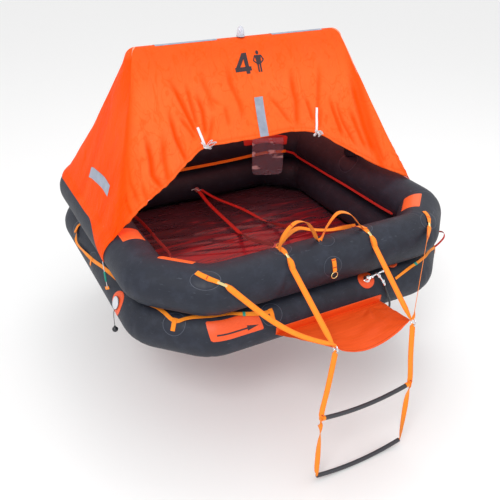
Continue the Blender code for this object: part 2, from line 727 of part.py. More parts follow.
def gas_system(patch_finish, metal, hose_finish, bottle_finish):
    """The inflation gear: an inlet with its fitting on the front, a hose, and the bottle under the floor."""
    round_patch("gas_patch", LOWER_Z, INLET_ALONG, INLET_ANGLE, 0.043, patch_finish)
    seat = on_tube(LOWER_Z, INLET_ALONG, INLET_ANGLE, WEB_LIFT)
    middle, out = station(INLET_ALONG)
    axis = out * cos(radians(INLET_ANGLE)) + Vector((0, 0, sin(radians(INLET_ANGLE))))
    profile = [(0, 0), (0.017, 0), (0.017, 0.004), (0.010, 0.006), (0.010, 0.016), (0.013, 0.018)]
    profile += [(0.013, 0.026), (0, 0.026)]
    turned("gas_inlet", profile, seat, axis, metal, steps=12)
    start = seat + axis * 0.020 + Vector((0.0135, 0, 0))
    fall = (Vector(HOSE[1]) - Vector(HOSE[0])).normalized()
    foot = Vector(HOSE[0]) - fall * 2 * GAP
    bend = foot - fall * 0.024
    route = [start, start.lerp(bend, 0.4), start.lerp(bend, 0.82), bend.lerp(foot, 0.25), foot]
    round_bar("gas_fitting", route, 0.0075, metal)
    round_bar("gas_hose", smooth_route(HOSE, 3), HOSE_RADIUS, hose_finish)
    profile = [(0, 0), (0.030, 0.004), (0.045, 0.018), (BOTTLE_RADIUS, 0.040), (BOTTLE_RADIUS, 0.290)]
    profile += [(0.045, 0.315), (0.024, 0.336), (0.016, 0.342), (0.016, 0.375), (0.023, 0.376)]
    profile += [(0.023, 0.420), (0, 0.420)]
    turned("gas_bottle", profile, (BOTTLE_X, BOTTLE_Y, BOTTLE_Z), (1, 0, 0), bottle_finish, steps=16)


POCKET_SIZE = 0.250
POCKET_FOOT = 0.210
POCKET_DEPTH = 0.155
POCKET_X = 0.440
POCKET_Y = 0.380


def water_pockets(finish):
    """Four open-topped water pockets under the floor, with an inlet slot high in each wall."""
    top_z = FLOOR_TOP - FLOOR_THICK - SEAT - GAP
    levels = ((0.0, 1.0), (0.18, 0.96), (0.42, 0.91), (1.0, POCKET_FOOT / POCKET_SIZE))
    corners = ((-1, -1), (-0.45, -1), (0.45, -1), (1, -1), (1, -0.45), (1, 0.45), (1, 1), (0.45, 1),
               (-0.45, 1), (-1, 1), (-1, 0.45), (-1, -0.45))
    count = len(corners)
    for y_name, y_hand in (("front", -1), ("back", 1)):
        for x_name, x_hand in (("left", -1), ("right", 1)):
            middle = Vector((x_hand * POCKET_X, y_hand * POCKET_Y, top_z))
            points = []
            for depth, scale in levels:
                half = POCKET_SIZE / 2 * scale
                for x, y in corners:
                    points.append(middle + Vector((x * half, y * half, -depth * POCKET_DEPTH)))
            faces = []
            for level in range(len(levels) - 1):
                for i in range(count):
                    if level == 1 and i % 3 == 1:
                        continue
                    k = (i + 1) % count
                    low = level * count
                    faces.append((low + i, low + k, low + count + k, low + count + i))
            base = (len(levels) - 1) * count
            faces.append(tuple(base + i for i in range(count)))
            pocket = add_mesh(f"water_pocket_{y_name}_{x_name}", points, faces, finish)
            mesh = bmesh.new()
            mesh.from_mesh(pocket.data)
            bmesh.ops.recalc_face_normals(mesh, faces=mesh.faces)
            lowest = min(mesh.faces, key=lambda face: face.calc_center_median().z)
            if lowest.normal.z > 0:
                bmesh.ops.reverse_faces(mesh, faces=mesh.faces)
            mesh.to_mesh(pocket.data)
            mesh.free()
            thicken(pocket, 0.003, -1.0)


# Clear bag: its top corners as (x, y), its width's share and drop down each row, and the flap it hangs from
BAG_LEFT = (0.390, 0.657)
BAG_RIGHT = (0.5915, 0.5755)
BAG_TOP = UPPER_Z + 0.030
BAG_ROWS = ((0.0, 1.0), (0.09, 1.0), (0.19, 1.0), (0.225, 0.92), (0.240, 0.76), (0.246, 0.50))
FLAP_ALONG = (HALF_LOOP - 0.345, HALF_LOOP - 0.735)


def clear_pocket(clear, finish):
    """The clear document bag, hung across the back right corner from an orange flap on the tube."""
    tube_patch("pocket_flap", UPPER_Z, FLAP_ALONG, (168, 142), finish, lift=0.0018)
    left, right = Vector((*BAG_LEFT, BAG_TOP)), Vector((*BAG_RIGHT, BAG_TOP))
    rows = []
    for drop, share in BAG_ROWS:
        edges = spread(0.5 - share / 2, 0.5 + share / 2, 4)
        rows.append([left.lerp(right, part) - Vector((0, 0, drop)) for part in edges])
    skin("clear_pocket", rows, 0.003, clear, offset=0.0)


def corner_ties(finish):
    """Cords that hold the canopy's front corners down to the grab line's tabs, each with a sleeve."""
    for name, hand in (("corner_tie_left", -1), ("corner_tie_right", 1)):
        along = hand * (SIDE_MIDDLE - 0.286)
        top = on_tube(UPPER_Z, along, -13.5, CLOTH_LIFT - CANOPY_THICK / 2)
        low = on_tube(LOWER_Z, along, 24, 0.0055)
        drop = (top - low).length
        profile = [(0, 0), (0.002, 0), (0.002, drop * 0.25), (0.0045, drop * 0.27)]
        profile += [(0.0045, drop * 0.62), (0.002, drop * 0.64), (0.002, drop), (0, drop)]
        turned(name, profile, low, top - low, finish, steps=8)


def ladder(finish, rubber):
    """The boarding ladder: webbing from the rings to two rubber rungs, the lower one hung from the upper."""
    rungs = (("rung_upper", UPPER_RUNG_Z), ("rung_lower", LOWER_RUNG_Z))
    for name, z in rungs:
        xs = spread(-RUNG_END, RUNG_END, 9)
        points = [(x, RING_Y, z - RUNG_SAG * (1 - (x / RUNG_HALF) ** 2)) for x in xs]
        round_bar(name, points, RUNG_RADIUS, rubber, sides_step=3)
    top_z = RING_Z - RING_RADIUS - RING_WIRE - GAP
    inner_x = RUNG_HALF + WEB_THICK / 2 + GAP
    for hand, side in (("left", -1), ("right", 1)):
        rows = []
        for x, z, half in (
            (RING_X, top_z, 0.005),
            (RING_X + 0.003, top_z - 0.030, 0.0115),
            (inner_x - 0.004, UPPER_RUNG_Z + 0.060, 0.0115),
            (inner_x, UPPER_RUNG_Z + 0.020, 0.0115),
            (inner_x, UPPER_RUNG_Z - 0.012, 0.0115),
        ):
            rows.append([Vector((side * x, RING_Y - half, z)), Vector((side * x, RING_Y + half, z))])
        skin(f"ladder_web_upper_{hand}", rows, WEB_THICK, finish, offset=0.0)
        outer_x = inner_x + WEB_THICK + 2 * GAP
        rows = []
        for x, z in ((outer_x, UPPER_RUNG_Z + 0.010), (outer_x, UPPER_RUNG_Z - 0.020), (inner_x, UPPER_RUNG_Z - 0.070),
                     (inner_x, LOWER_RUNG_Z - 0.012)):
            rows.append([Vector((side * x, RING_Y - 0.0115, z)), Vector((side * x, RING_Y + 0.0115, z))])
        skin(f"ladder_web_lower_{hand}", rows, WEB_THICK, finish, offset=0.0)


def build():
    clear_scene()
    tube_rubber = material("Tube rubber", (0.035, 0.042, 0.058), 0.62)
    floor_rubber = material("Floor rubber", (0.035, 0.012, 0.014), 0.35)
    canopy_cloth = material("Canopy cloth", (0.90, 0.17, 0.015), 0.55)
    ramp_cloth = material("Ramp cloth", (0.75, 0.12, 0.012), 0.60)
    orange_patch = material("Orange patch", (0.85, 0.12, 0.02), 0.55)
    webbing = material("Orange webbing", (0.85, 0.26, 0.015), 0.75)
    red_webbing = material("Red webbing", (0.55, 0.03, 0.015), 0.75)
    steel = material("Polished steel", (0.75, 0.75, 0.78), 0.18, metallic=1.0)
    grey_plastic = material("Grey plastic", (0.55, 0.56, 0.58), 0.45)
    black_rubber = material("Black rubber", (0.02, 0.022, 0.028), 0.45)
    clear_film = material("Clear film", (0.80, 0.75, 0.75), 0.10, alpha=0.3)
    lamp_plastic = material("Lamp plastic", (0.80, 0.82, 0.88), 0.15, alpha=0.6)
    tie_cord = material("Tie cord", (0.75, 0.72, 0.68), 0.80)
    bottle_paint = material("Bottle paint", (0.35, 0.36, 0.38), 0.35, metallic=0.3)

    inflated_tube("lower_tube", LOWER_Z, tube_rubber)
    inflated_tube("upper_tube", UPPER_Z, tube_rubber)
    floor(floor_rubber)
    arch(tube_rubber)
    canopy(canopy_cloth)
    canopy_lamp(lamp_plastic)
    boarding_ramp(ramp_cloth)
    ramp_rings(steel)
    side_straps(webbing)
    entrance_handle(webbing)
    floor_straps(red_webbing, black_rubber)
    grab_lines(webbing)
    inside_line(red_webbing)
    tow_eye(webbing, steel)
    labels(orange_patch)
    side_valve(orange_patch, grey_plastic, black_rubber, black_rubber)
    gas_system(orange_patch, steel, black_rubber, bottle_paint)
    water_pockets(black_rubber)
    clear_pocket(clear_film, orange_patch)
    corner_ties(tie_cord)
    ladder(webbing, black_rubber)


build()
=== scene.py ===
from math import acos, atan2, cos, degrees, exp, hypot, pi, radians, sin, sqrt, tan

import bmesh
import bpy
from mathutils import Matrix, Vector, noise
from mathutils.bvhtree import BVHTree


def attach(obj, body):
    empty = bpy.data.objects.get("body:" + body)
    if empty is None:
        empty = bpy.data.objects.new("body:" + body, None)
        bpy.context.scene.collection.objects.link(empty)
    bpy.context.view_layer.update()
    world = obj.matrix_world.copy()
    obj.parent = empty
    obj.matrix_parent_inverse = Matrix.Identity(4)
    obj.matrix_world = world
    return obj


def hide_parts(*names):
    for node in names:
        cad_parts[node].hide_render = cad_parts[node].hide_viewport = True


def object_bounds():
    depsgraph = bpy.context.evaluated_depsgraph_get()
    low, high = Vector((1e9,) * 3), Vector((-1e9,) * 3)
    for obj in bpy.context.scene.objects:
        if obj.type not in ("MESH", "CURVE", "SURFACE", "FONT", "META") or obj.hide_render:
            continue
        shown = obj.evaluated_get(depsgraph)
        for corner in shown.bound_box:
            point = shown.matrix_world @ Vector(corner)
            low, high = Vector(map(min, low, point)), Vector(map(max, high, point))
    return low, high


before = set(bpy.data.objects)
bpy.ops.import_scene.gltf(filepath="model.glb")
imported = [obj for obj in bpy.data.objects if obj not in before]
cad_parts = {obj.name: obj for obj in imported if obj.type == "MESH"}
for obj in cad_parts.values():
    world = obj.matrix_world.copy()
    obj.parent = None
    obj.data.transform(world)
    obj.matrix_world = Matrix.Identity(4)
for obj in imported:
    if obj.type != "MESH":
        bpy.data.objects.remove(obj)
cad_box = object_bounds()
scene = bpy.context.scene

# Camera: the photograph's own view, from the raft's front left, a little over head height and about three
# metres away. The place, the two angles and the slight roll come from a perspective fit of the hull.
camera_place = Vector((-1.461, -2.816, 1.787))
yaw, pitch, roll = radians(28.14), radians(29.93), radians(0.67)
ahead = Vector((sin(yaw) * cos(pitch), cos(yaw) * cos(pitch), -sin(pitch)))
level = Vector((cos(yaw), -sin(yaw), 0))
upright = level.cross(ahead)
camera_data = bpy.data.cameras.new("photo_view")
camera_data.sensor_width, camera_data.lens = 36, 45.72
camera = bpy.data.objects.new("photo_view", camera_data)
turned_to = Matrix((cos(roll) * level + sin(roll) * upright, cos(roll) * upright - sin(roll) * level, -ahead))
camera.matrix_world = Matrix.Translation(camera_place) @ turned_to.transposed().to_4x4()
scene.collection.objects.link(camera)
scene.camera = camera


# Topping-up valve's tether and gas hose: the two free cords. The tether is thin black rubber cord with a moulded
# plug on its end. The hose is smooth black rubber, crimped on the inlet's fitting and screwed into the bottle.
class Nodes:
    """Short calls that add shader nodes to a tree, each of which returns an output."""

    def __init__(self, tree):
        self.tree = tree

    def put(self, kind, inputs=(), out=0, **settings):
        """Adds a node whose inputs are {name or index: value or output}. Out None gives all of its outputs."""
        made = self.tree.nodes.new("ShaderNode" + kind)
        for key, value in settings.items():
            setattr(made, key, value)
        for key, value in dict(inputs).items():
            if isinstance(value, bpy.types.NodeSocket):
                self.tree.links.new(value, made.inputs[key])
            elif value is not None:
                made.inputs[key].default_value = value
        return made.outputs if out is None else made.outputs[out]

    def place(self):
        return self.put("TexCoord", out="Object")

    def noise(self, scale, detail, spot=None, **more):
        return self.put("TexNoise", {"Scale": scale, "Detail": detail, "Vector": spot, **more}, "Fac")

    def stretch(self, spot, scale, turn=0):
        return self.put("Mapping", {"Vector": spot, "Scale": scale, "Rotation": (0, 0, turn)})

    def span(self, value, first, last, low=0, high=1):
        """Goes from the first to the last number as a value goes from low to high."""
        return self.put("MapRange", {"Value": value, "From Min": low, "From Max": high,
                                     "To Min": first, "To Max": last})

    def mix(self, share, first, second):
        """A colour between two, each an output or red, green and blue."""
        first, second = ((*shade, 1) if isinstance(shade, tuple) else shade for shade in (first, second))
        return self.put("Mix", {"Factor": share, 6: first, 7: second}, 2, data_type="RGBA")

    def math(self, kind, *values):
        return self.put("Math", enumerate(values), operation=kind)

    def bump(self, strength, distance, height, under=None):
        return self.put("Bump", {"Strength": strength, "Distance": distance, "Height": height, "Normal": under})

    def group(self, tree, **inputs):
        """The outputs of a node group that is placed here. A name has _ for a space."""
        named = {key.replace("_", " "): value for key, value in inputs.items()}
        return self.put("Group", named, None, node_tree=tree)

    def feed(self, **sources):
        """Links outputs to the shader's inputs or to the group's outputs. A name has _ for a space."""
        end = self.tree.nodes.get("Principled BSDF") or self.tree.nodes["Group Output"]
        for name, source in sources.items():
            self.tree.links.new(source, end.inputs[name.replace("_", " ")])


def new_group(name, inputs, **outputs):
    """A shader node group, its nodes and its inputs' outputs. Inputs are {name: default}, outputs name=type."""
    tree = bpy.data.node_groups.new(name, "ShaderNodeTree")
    for label, default in inputs.items():
        kind = "NodeSocketColor" if isinstance(default, tuple) else "NodeSocketFloat"
        tree.interface.new_socket(label, in_out="INPUT", socket_type=kind).default_value = default
    for label, kind in outputs.items():
        tree.interface.new_socket(label, in_out="OUTPUT", socket_type="NodeSocket" + kind)
    tree.nodes.new("NodeGroupOutput")
    return tree, Nodes(tree), tree.nodes.new("NodeGroupInput").outputs


def new_material(name, base, roughness, **sockets):
    """A material and its nodes. A socket's name has _ for a space."""
    made = bpy.data.materials.new(name)
    made.use_nodes = True
    inputs = made.node_tree.nodes["Principled BSDF"].inputs
    for socket, value in {"Base_Color": (*base, 1), "Roughness": roughness, **sockets}.items():
        inputs[socket.replace("_", " ")].default_value = value
    return made, Nodes(made.node_tree)


# Dust and rub marks: a soft mottle that is mixed into a colour, with its mask
rub_group, nodes, given = new_group(
    "Rubbed and dusty", {"Base": (0, 0, 0, 1), "Dust": (0.3, 0.32, 0.36, 1), "Amount": 0.3, "Scale": 6},
    Color="Color", Mask="Float")
patchy = nodes.span(nodes.noise(given["Scale"], 8, nodes.place(), Roughness=0.65), 0, 1, 0.48, 0.72)
nodes.feed(Color=nodes.mix(nodes.math("MULTIPLY", patchy, given["Amount"]), given["Base"], given["Dust"]),
           Mask=patchy)

smooth_rubber, nodes = new_material("Smooth black rubber", (0.016, 0.017, 0.021), 0.38, Specular_IOR_Level=0.5)
rub = nodes.group(rub_group, Base=(0.014, 0.015, 0.019, 1), Dust=(0.09, 0.09, 0.1, 1), Amount=0.35, Scale=40)
nodes.feed(Base_Color=rub["Color"], Roughness=nodes.span(rub["Mask"], 0.3, 0.52),
           Normal=nodes.bump(0.25, 0.0004, nodes.noise(900, 2)))
x_way, y_way, z_way = Vector((1, 0, 0)), Vector((0, 1, 0)), Vector((0, 0, 1))


def smooth_route(points, steps):
    """Points along one smooth curve through the given points."""
    route = [Vector(point) for point in points]
    ends = [2 * route[0] - route[1]] + route + [2 * route[-1] - route[-2]]
    found = []
    for i in range(1, len(ends) - 2):
        before, start, end, after = ends[i - 1:i + 3]
        for step in range(steps):
            t = step / steps
            bend = (2 * before - 5 * start + 4 * end - after) * t * t
            twist = (3 * start - before - 3 * end + after) * t ** 3
            found.append(0.5 * (2 * start + (end - before) * t + bend + twist))
    found.append(route[-1])
    return found


def route_length(points):
    return sum((b - a).length for a, b in zip(points, points[1:]))


def show(made, finish, slot, stands_for="", body="raft"):
    """Links a mesh or a curve as a piece, with its finish, riding on its body in place of a node. Slot is not used."""
    piece = bpy.data.objects.new(made.name, made)
    scene.collection.objects.link(piece)
    made.materials.append(finish)
    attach(piece, body)
    if stands_for:
        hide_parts(stands_for)
    return piece


def cord_curve(name, points, radius, sides=3):
    """A cord's curve through points, one open spline with a round bevel."""
    curve = bpy.data.curves.new(name, "CURVE")
    curve.dimensions = "3D"
    curve.bevel_depth, curve.bevel_resolution, curve.use_fill_caps = radius, sides, True
    spline = curve.splines.new("POLY")
    spline.points.add(len(points) - 1)
    for knot, point in zip(spline.points, points):
        knot.co = (*point, 1)
    return curve


def smoothed(mesh, sharp):
    """Shades a mesh smooth, apart from edges over an angle in degrees."""
    mesh.shade_smooth()
    mesh.set_sharp_from_angle(angle=radians(sharp))
    return mesh


def rounds(steps):
    """The angles of even steps round a circle."""
    return [2 * pi * step / steps for step in range(steps)]


def turned(name, profile, place, axis, finish, slot, stands_for="", steps=32, body="raft"):
    """A round piece turned about an axis from (radius, height) points, which start and end on the axis."""
    spin = z_way.rotation_difference(Vector(axis)).to_matrix()
    points = [z_way * profile[0][1]]
    points += [Vector((radius * cos(turn), radius * sin(turn), height))
               for radius, height in profile[1:-1] for turn in rounds(steps)]
    points.append(z_way * profile[-1][1])
    last, faces = len(points) - 1, []
    for step in range(steps):
        after = (step + 1) % steps
        faces.append((0, 1 + after, 1 + step))
        for low in range(1, last - steps, steps):
            faces.append((low + step, low + after, low + steps + after, low + steps + step))
        faces.append((last, last - steps + step, last - steps + after))
    mesh = bpy.data.meshes.new(name)
    mesh.from_pydata([spin @ point + Vector(place) for point in points], [], faces)
    return show(smoothed(mesh, 40), finish, slot, stands_for, body)


valve_lean = radians(21)
valve_axis = Vector((-cos(valve_lean), 0, sin(valve_lean)))
tether_top = Vector((-0.870495, -0.42, 0.120496)) + valve_axis * 0.009 - z_way * 0.031
plug_top = Vector((tether_top.x - 0.01, tether_top.y, 0))
tether_route = smooth_route((tether_top, tether_top + Vector((-0.005, 0, -0.01)),
                             tether_top + Vector((-0.009, 0, -0.035)), plug_top), 8)
tether = show(cord_curve("valve_tether_cord", tether_route, 0.0015), smooth_rubber, "black_rubber", "valve_tether")
plug_profile = [(0, 0), (0.0035, 0.0003), (0.005, 0.0012), (0.0058, 0.006), (0.0085, 0.009), (0.012, 0.012),
                (0.0138, 0.016), (0.014, 0.02), (0.0131, 0.0245), (0.01, 0.029), (0.006, 0.0313), (0, 0.032)]
plug = turned("valve_cap_plug", plug_profile, plug_top - z_way * 0.0003, (0, 0, -1), smooth_rubber,
              "black_rubber", "valve_plug")
route_length(tether_route)

floor_base, bottle_radius = -0.0346, 0.05
bottle_z = floor_base - bottle_radius
hose_route = smooth_route((
    (0.302, -0.872, 0.152), (0.306, -0.8835, 0.125), (0.318, -0.893, 0.09), (0.334, -0.8945, 0.05),
    (0.346, -0.885, 0.002), (0.352, -0.854, -0.042), (0.346, -0.79, -0.07), (0.318, -0.705, -0.0805),
    (0.282, -0.63, -0.084), (0.273, -0.57, bottle_z), (0.273, -0.5385, bottle_z)), 6)
hose = show(cord_curve("inflation_hose", hose_route, 0.0055, 5), smooth_rubber, "black_rubber", "gas_hose")
tuple(hose_route[0])
route_length(hose_route)


# Two main tubes: octagons of coated fabric, inflated hard, one on the other. Each corner is cut from panels that
# are glued edge to edge under a tape, and the tubes crease a little where the boarding straps pull on them.
tube_radius, bend_radius = 0.11, 0.14
axis_half_x, axis_half_y, corner_cut = 0.765, 0.77, 0.208
lower_z, upper_z = 0.08, 0.3003
bend_length, bend_tangent = bend_radius * radians(45), bend_radius * tan(radians(22.5))
front_half, side_half = (half - corner_cut - bend_tangent for half in (axis_half_x, axis_half_y))
chamfer = corner_cut * sqrt(2) - 2 * bend_tangent
corner = ((bend_length, True), (chamfer, False), (bend_length, True))
runs = ((front_half, False), *corner, (2 * side_half, False), *corner, (front_half, False))
half_loop = sum(length for length, bends in runs)
side_middle = front_half + 2 * bend_length + chamfer + side_half
mitres = [front_half + bend_length / 2, front_half + 1.5 * bend_length + chamfer]
mitres += [half_loop - mitre for mitre in mitres]


def station(along):
    """The tubes' axis point and outward direction at a distance from the middle of the front, + to the right."""
    hand, left = -1 if along < 0 else 1, abs(along)
    x, y, heading = 0.0, -axis_half_y, 0.0
    for length, bends in runs:
        step = min(left, length)
        if bends:
            turn = step / bend_radius
            x += bend_radius * (sin(heading + turn) - sin(heading))
            y += bend_radius * (cos(heading) - cos(heading + turn))
            heading += turn
        else:
            x += step * cos(heading)
            y += step * sin(heading)
        left -= step
        if left <= 0:
            break
    return Vector((hand * x, y, 0)), Vector((hand * sin(heading), -cos(heading), 0))


def hump(value, middle, width):
    return exp(-((value - middle) / width) ** 2)


def limited(value):
    """A value kept from 0 to 1."""
    return min(1, max(0, value))


def turn_from(angle, middle):
    """Degrees from one angle round a tube to another, from -180 to 180."""
    return (angle - middle + 180) % 360 - 180


def relief(axis_z, along, angle):
    """How far a tube's skin stands off its ideal round, from creases, corner puckers and seams."""
    outward = cos(radians(angle))
    rise = 0.0011 * noise.noise(Vector((along * 3, outward * 0.6, sin(radians(angle)) * 0.6 + axis_z * 7)))
    for mitre in mitres:
        off = abs(along) - mitre
        if abs(off) < 0.12:
            rise -= 0.0016 * hump(off, 0, 0.007)
            rise += 0.0005 if abs(off) < 0.02 else 0
            if outward < 0:
                pucker = cos(off * 2 * pi / 0.034) * hump(off, 0, 0.045)
                rise += 0.0024 * pucker * outward ** 2
    if axis_z == upper_z:
        for hand in (-1, 1):
            line = hand * (0.225 - 0.0006 * turn_from(angle, 40))
            depth = hump(turn_from(angle, -5), 0, 46)
            rise -= 0.005 * depth * hump(along, line, 0.017)
            rise += 0.0022 * depth * hump(along, line + 0.04 * hand, 0.03)
        rise -= 0.004 * hump(along, 0.515, 0.02) * hump(turn_from(angle, 10), 0, 40)
        rise -= 0.003 * hump(along, -0.505, 0.022) * hump(turn_from(angle, -10), 0, 40)
    return rise


def on_tube(axis_z, along, angle, lift=0.0):
    """A point on a tube's creased skin: angle is in degrees, 0 at its outer side and 90 on top."""
    middle, out = station(along)
    reach = tube_radius + lift + relief(axis_z, along, angle)
    return middle + out * (reach * cos(radians(angle))) + z_way * (axis_z + reach * sin(radians(angle)))


def grid_mesh(name, rows, wrap_across=False, wrap_along=False, uv=None, sharp=50):
    """A mesh of quads through rows of points. UV, where given, is a function of the row and the column."""
    high, wide = len(rows), len(rows[0])
    faces, corners = [], []
    for r in range(high if wrap_along else high - 1):
        for c in range(wide if wrap_across else wide - 1):
            s, d = (r + 1) % high, (c + 1) % wide
            faces.append((r * wide + c, r * wide + d, s * wide + d, s * wide + c))
            corners += [(r, c), (r, c + 1), (r + 1, c + 1), (r + 1, c)]
    mesh = bpy.data.meshes.new(name)
    mesh.from_pydata([point for row in rows for point in row], [], faces)
    if uv:
        for loop, (r, c) in zip(mesh.uv_layers.new(name="UVMap").data, corners):
            loop.uv = uv(r, c)
    return smoothed(mesh, sharp)


# Coated cloth's fine thread, from wave bands both ways over the piece's own length and width
weave_group, nodes, given = new_group("Woven thread", {"Threads": 400}, Height="Float")
nodes.feed(Height=nodes.math("MULTIPLY", *(
    nodes.put("TexWave", {"Vector": nodes.put("UVMap"), "Scale": given["Threads"]}, "Fac", bands_direction=way)
    for way in ("X", "Y"))))

tube_fabric, nodes = new_material("Slate coated fabric", (0.02, 0.025, 0.038), 0.6, Specular_IOR_Level=0.35)
spot = nodes.place()
broad = nodes.noise(5, 6, spot, Roughness=0.6)
rub = nodes.group(rub_group, Base=nodes.mix(broad, (0.0085, 0.0105, 0.0185), (0.019, 0.023, 0.038)),
                  Dust=(0.08, 0.095, 0.145, 1), Amount=0.15, Scale=17)
scratch = nodes.noise(5, 5, nodes.stretch(spot, (6, 6, 42)))
weave = nodes.group(weave_group, Threads=210)["Height"]
nodes.feed(Base_Color=nodes.mix(nodes.span(scratch, 0, 0.35, 0.66, 0.76), rub["Color"], (0.13, 0.15, 0.19)),
           Roughness=nodes.span(broad, 0.44, 0.7),
           Normal=nodes.bump(0.3, 0.004, nodes.noise(26, 4, spot), nodes.bump(0.2, 0.0006, weave)))

tube_stations, tube_sides, bend_step, straight_step = [], 72, 0.0046, 0.0085
for i, (length, bends) in enumerate(runs):
    start = sum(run[0] for run in runs[:i])
    steps = round(length / (bend_step if bends else straight_step))
    tube_stations += [start + length * step / steps for step in range(steps)]
tube_stations = tube_stations + [half_loop] + [-spot for spot in reversed(tube_stations[1:])]
for name, axis_z, node in (("main_tube_lower", lower_z, "lower_tube"), ("main_tube_upper", upper_z, "upper_tube")):
    rows = [[on_tube(axis_z, along, 360 * side / tube_sides) for side in range(tube_sides)]
            for along in tube_stations]
    mesh = grid_mesh(name, rows, wrap_across=True, wrap_along=True,
                     uv=lambda r, c: (r * straight_step, c * 2 * pi * tube_radius / tube_sides))
    mesh.flip_normals()
    show(mesh, tube_fabric, "tube_rubber", node)


# Floor: one sheet of glossy coated fabric, glued under the lower tube all round, which bellies and wrinkles inside
# the cabin because nothing stretches it. Its colour holds painted light: a red glow that fades toward the back,
# pale painted highlights on its creases, and painted shade, near black, where it runs under the tube.
floor_fabric, nodes = new_material("Wet-look floor fabric", (0.2, 0.01, 0.014), 0.2, Specular_IOR_Level=0.7,
                                   Coat_Weight=0.6, Coat_Roughness=0.1)
spot = nodes.place()
creased = nodes.noise(1.7, 4, nodes.stretch(spot, (2.2, 19, 1), radians(13)), Roughness=0.5, Distortion=0.9)
# Painted light: redder and brighter toward the front and dark toward the back, for light that comes through the canopy.
painted_front_glow = nodes.span(nodes.put("SeparateXYZ", {0: spot}, 1), 0.3, -0.28, -0.5, 0.62)
painted_glow_share = nodes.span(nodes.math("ADD", painted_front_glow, creased), 0, 1, 0.38, 0.66)
tone = nodes.mix(painted_glow_share, (0.075, 0.034, 0.048), (0.4, 0.01, 0.02))
# Painted highlight: pale pink streaks on the crests of the creases.
painted_shine = nodes.mix(nodes.span(creased, 0, 0.55, 0.665, 0.74), tone, (0.72, 0.3, 0.36))
# Painted shade: near black where the floor runs under the lower tube.
painted_under_tube_shade = nodes.span(nodes.put("Attribute", out="Fac", attribute_name="from_tube"), 1, 0, -0.052, -0.048)
nodes.feed(Base_Color=nodes.mix(painted_under_tube_shade, painted_shine, (0.012, 0.013, 0.018)), Roughness=nodes.span(creased, 0.18, 0.4),
           Normal=nodes.bump(0.22, 0.006, creased))


def floor_height(x, y, edge):
    """The floor's wrinkles: long ridges across the raft, flat again within an edge distance of the tube."""
    slant = y + 0.24 * x
    ridges = 1 - abs(noise.noise(Vector((x * 1.6 + 0.4 * sin(y * 4), slant * 7, 3.1)) * 1.25)) * 2.2
    rise = 0.0065 * max(0, ridges) ** 2 + 0.0022 * noise.noise(Vector((x * 4, slant * 20, 9.2)))
    return rise * limited((edge - 0.02) / 0.1)


def loop_reach(direction):
    """How far the tubes' axis lies from the middle, in a direction given as a unit vector in plan."""
    x, y = abs(direction.x) + 1e-9, abs(direction.y) + 1e-9
    return min(axis_half_x / x, axis_half_y / y, (axis_half_x + axis_half_y - corner_cut) / (x + y))


def thicken(piece, thickness, offset=-1):
    """Gives a sheet its thickness."""
    solid = piece.modifiers.new("Thickness", "SOLIDIFY")
    solid.thickness, solid.offset = thickness, offset
    return solid


floor_top, floor_cells = -0.0315, 150
rows, edges = [], []
for r in range(floor_cells + 1):
    rows.append([])
    for c in range(floor_cells + 1):
        square = Vector((2 * c / floor_cells - 1, 2 * r / floor_cells - 1))
        ring = max(abs(square.x), abs(square.y))
        heading = square.normalized() if ring else Vector((1, 0))
        reach = loop_reach(heading) * ring * 0.9985
        place = heading * reach
        edges.append(loop_reach(heading) - tube_radius - reach)
        rows[-1].append(Vector((*place, floor_top + floor_height(*place, edges[-1]))))
mesh = grid_mesh("floor_sheet", rows, sharp=180)
mesh.attributes.new("from_tube", "FLOAT", "POINT").data.foreach_set("value", edges)
floor_sheet = show(mesh, floor_fabric, "floor_rubber", "raft_floor")
thicken(floor_sheet, 0.002)


# Arch: a thinner inflated tube that stands on the upper tube at both sides and carries the canopy's ridge. It is
# the same slate fabric, glued up in straight lengths with a bend at each shoulder.
ridge_y, ridge_half, ridge_top, arch_radius = 0.045, 0.533, 1.144, 0.05
arch_nominal_reach = (arch_radius + 0.004 + 0.0006) / cos(radians(22.5))
arch_z = ridge_top - arch_nominal_reach
brow = arch_nominal_reach * cos(radians(45))
cloth_lift, cloth_touch, shoulder_angle = 0.0082, 58, 40
end_top = Vector((ridge_half + brow, arch_z + brow))
touch_reach = tube_radius + cloth_lift
end_foot = Vector((axis_half_x + touch_reach * cos(radians(cloth_touch)),
                   upper_z + touch_reach * sin(radians(cloth_touch))))
end_slope = (end_foot.x - end_top.x) / (end_top.y - end_foot.y)
leg_clear = (arch_radius + 0.009) * sqrt(1 + end_slope ** 2)


def leg_x(z):
    return end_top.x + end_slope * (end_top.y - z) - leg_clear


arch_left = ((-axis_half_x + 0.014, 0.4106), (-axis_half_x + 0.019, 0.45), (-leg_x(0.52), 0.52),
             (-leg_x(0.735), 0.735), (-leg_x(0.95), 0.95), (-leg_x(1) + 0.004, 1),
             (-0.5, arch_z - 0.026), (-0.455, arch_z - 0.004), (-0.4, arch_z), (-0.2, arch_z))
arch_line = smooth_route(
    [(x, ridge_y, z) for x, z in arch_left] + [(-x, ridge_y, z) for x, z in reversed(arch_left)], 8)


def tube_rows(line, radius_at, sides, up=y_way):
    """Rings of points round a line of points."""
    rows = []
    for i, point in enumerate(line):
        along = (line[min(i + 1, len(line) - 1)] - line[max(i - 1, 0)]).normalized()
        across = along.cross(up).normalized()
        third, radius = across.cross(along), radius_at(i)
        rows.append([point + across * (radius * cos(turn)) + third * (radius * sin(turn)) for turn in rounds(sides)])
    return rows


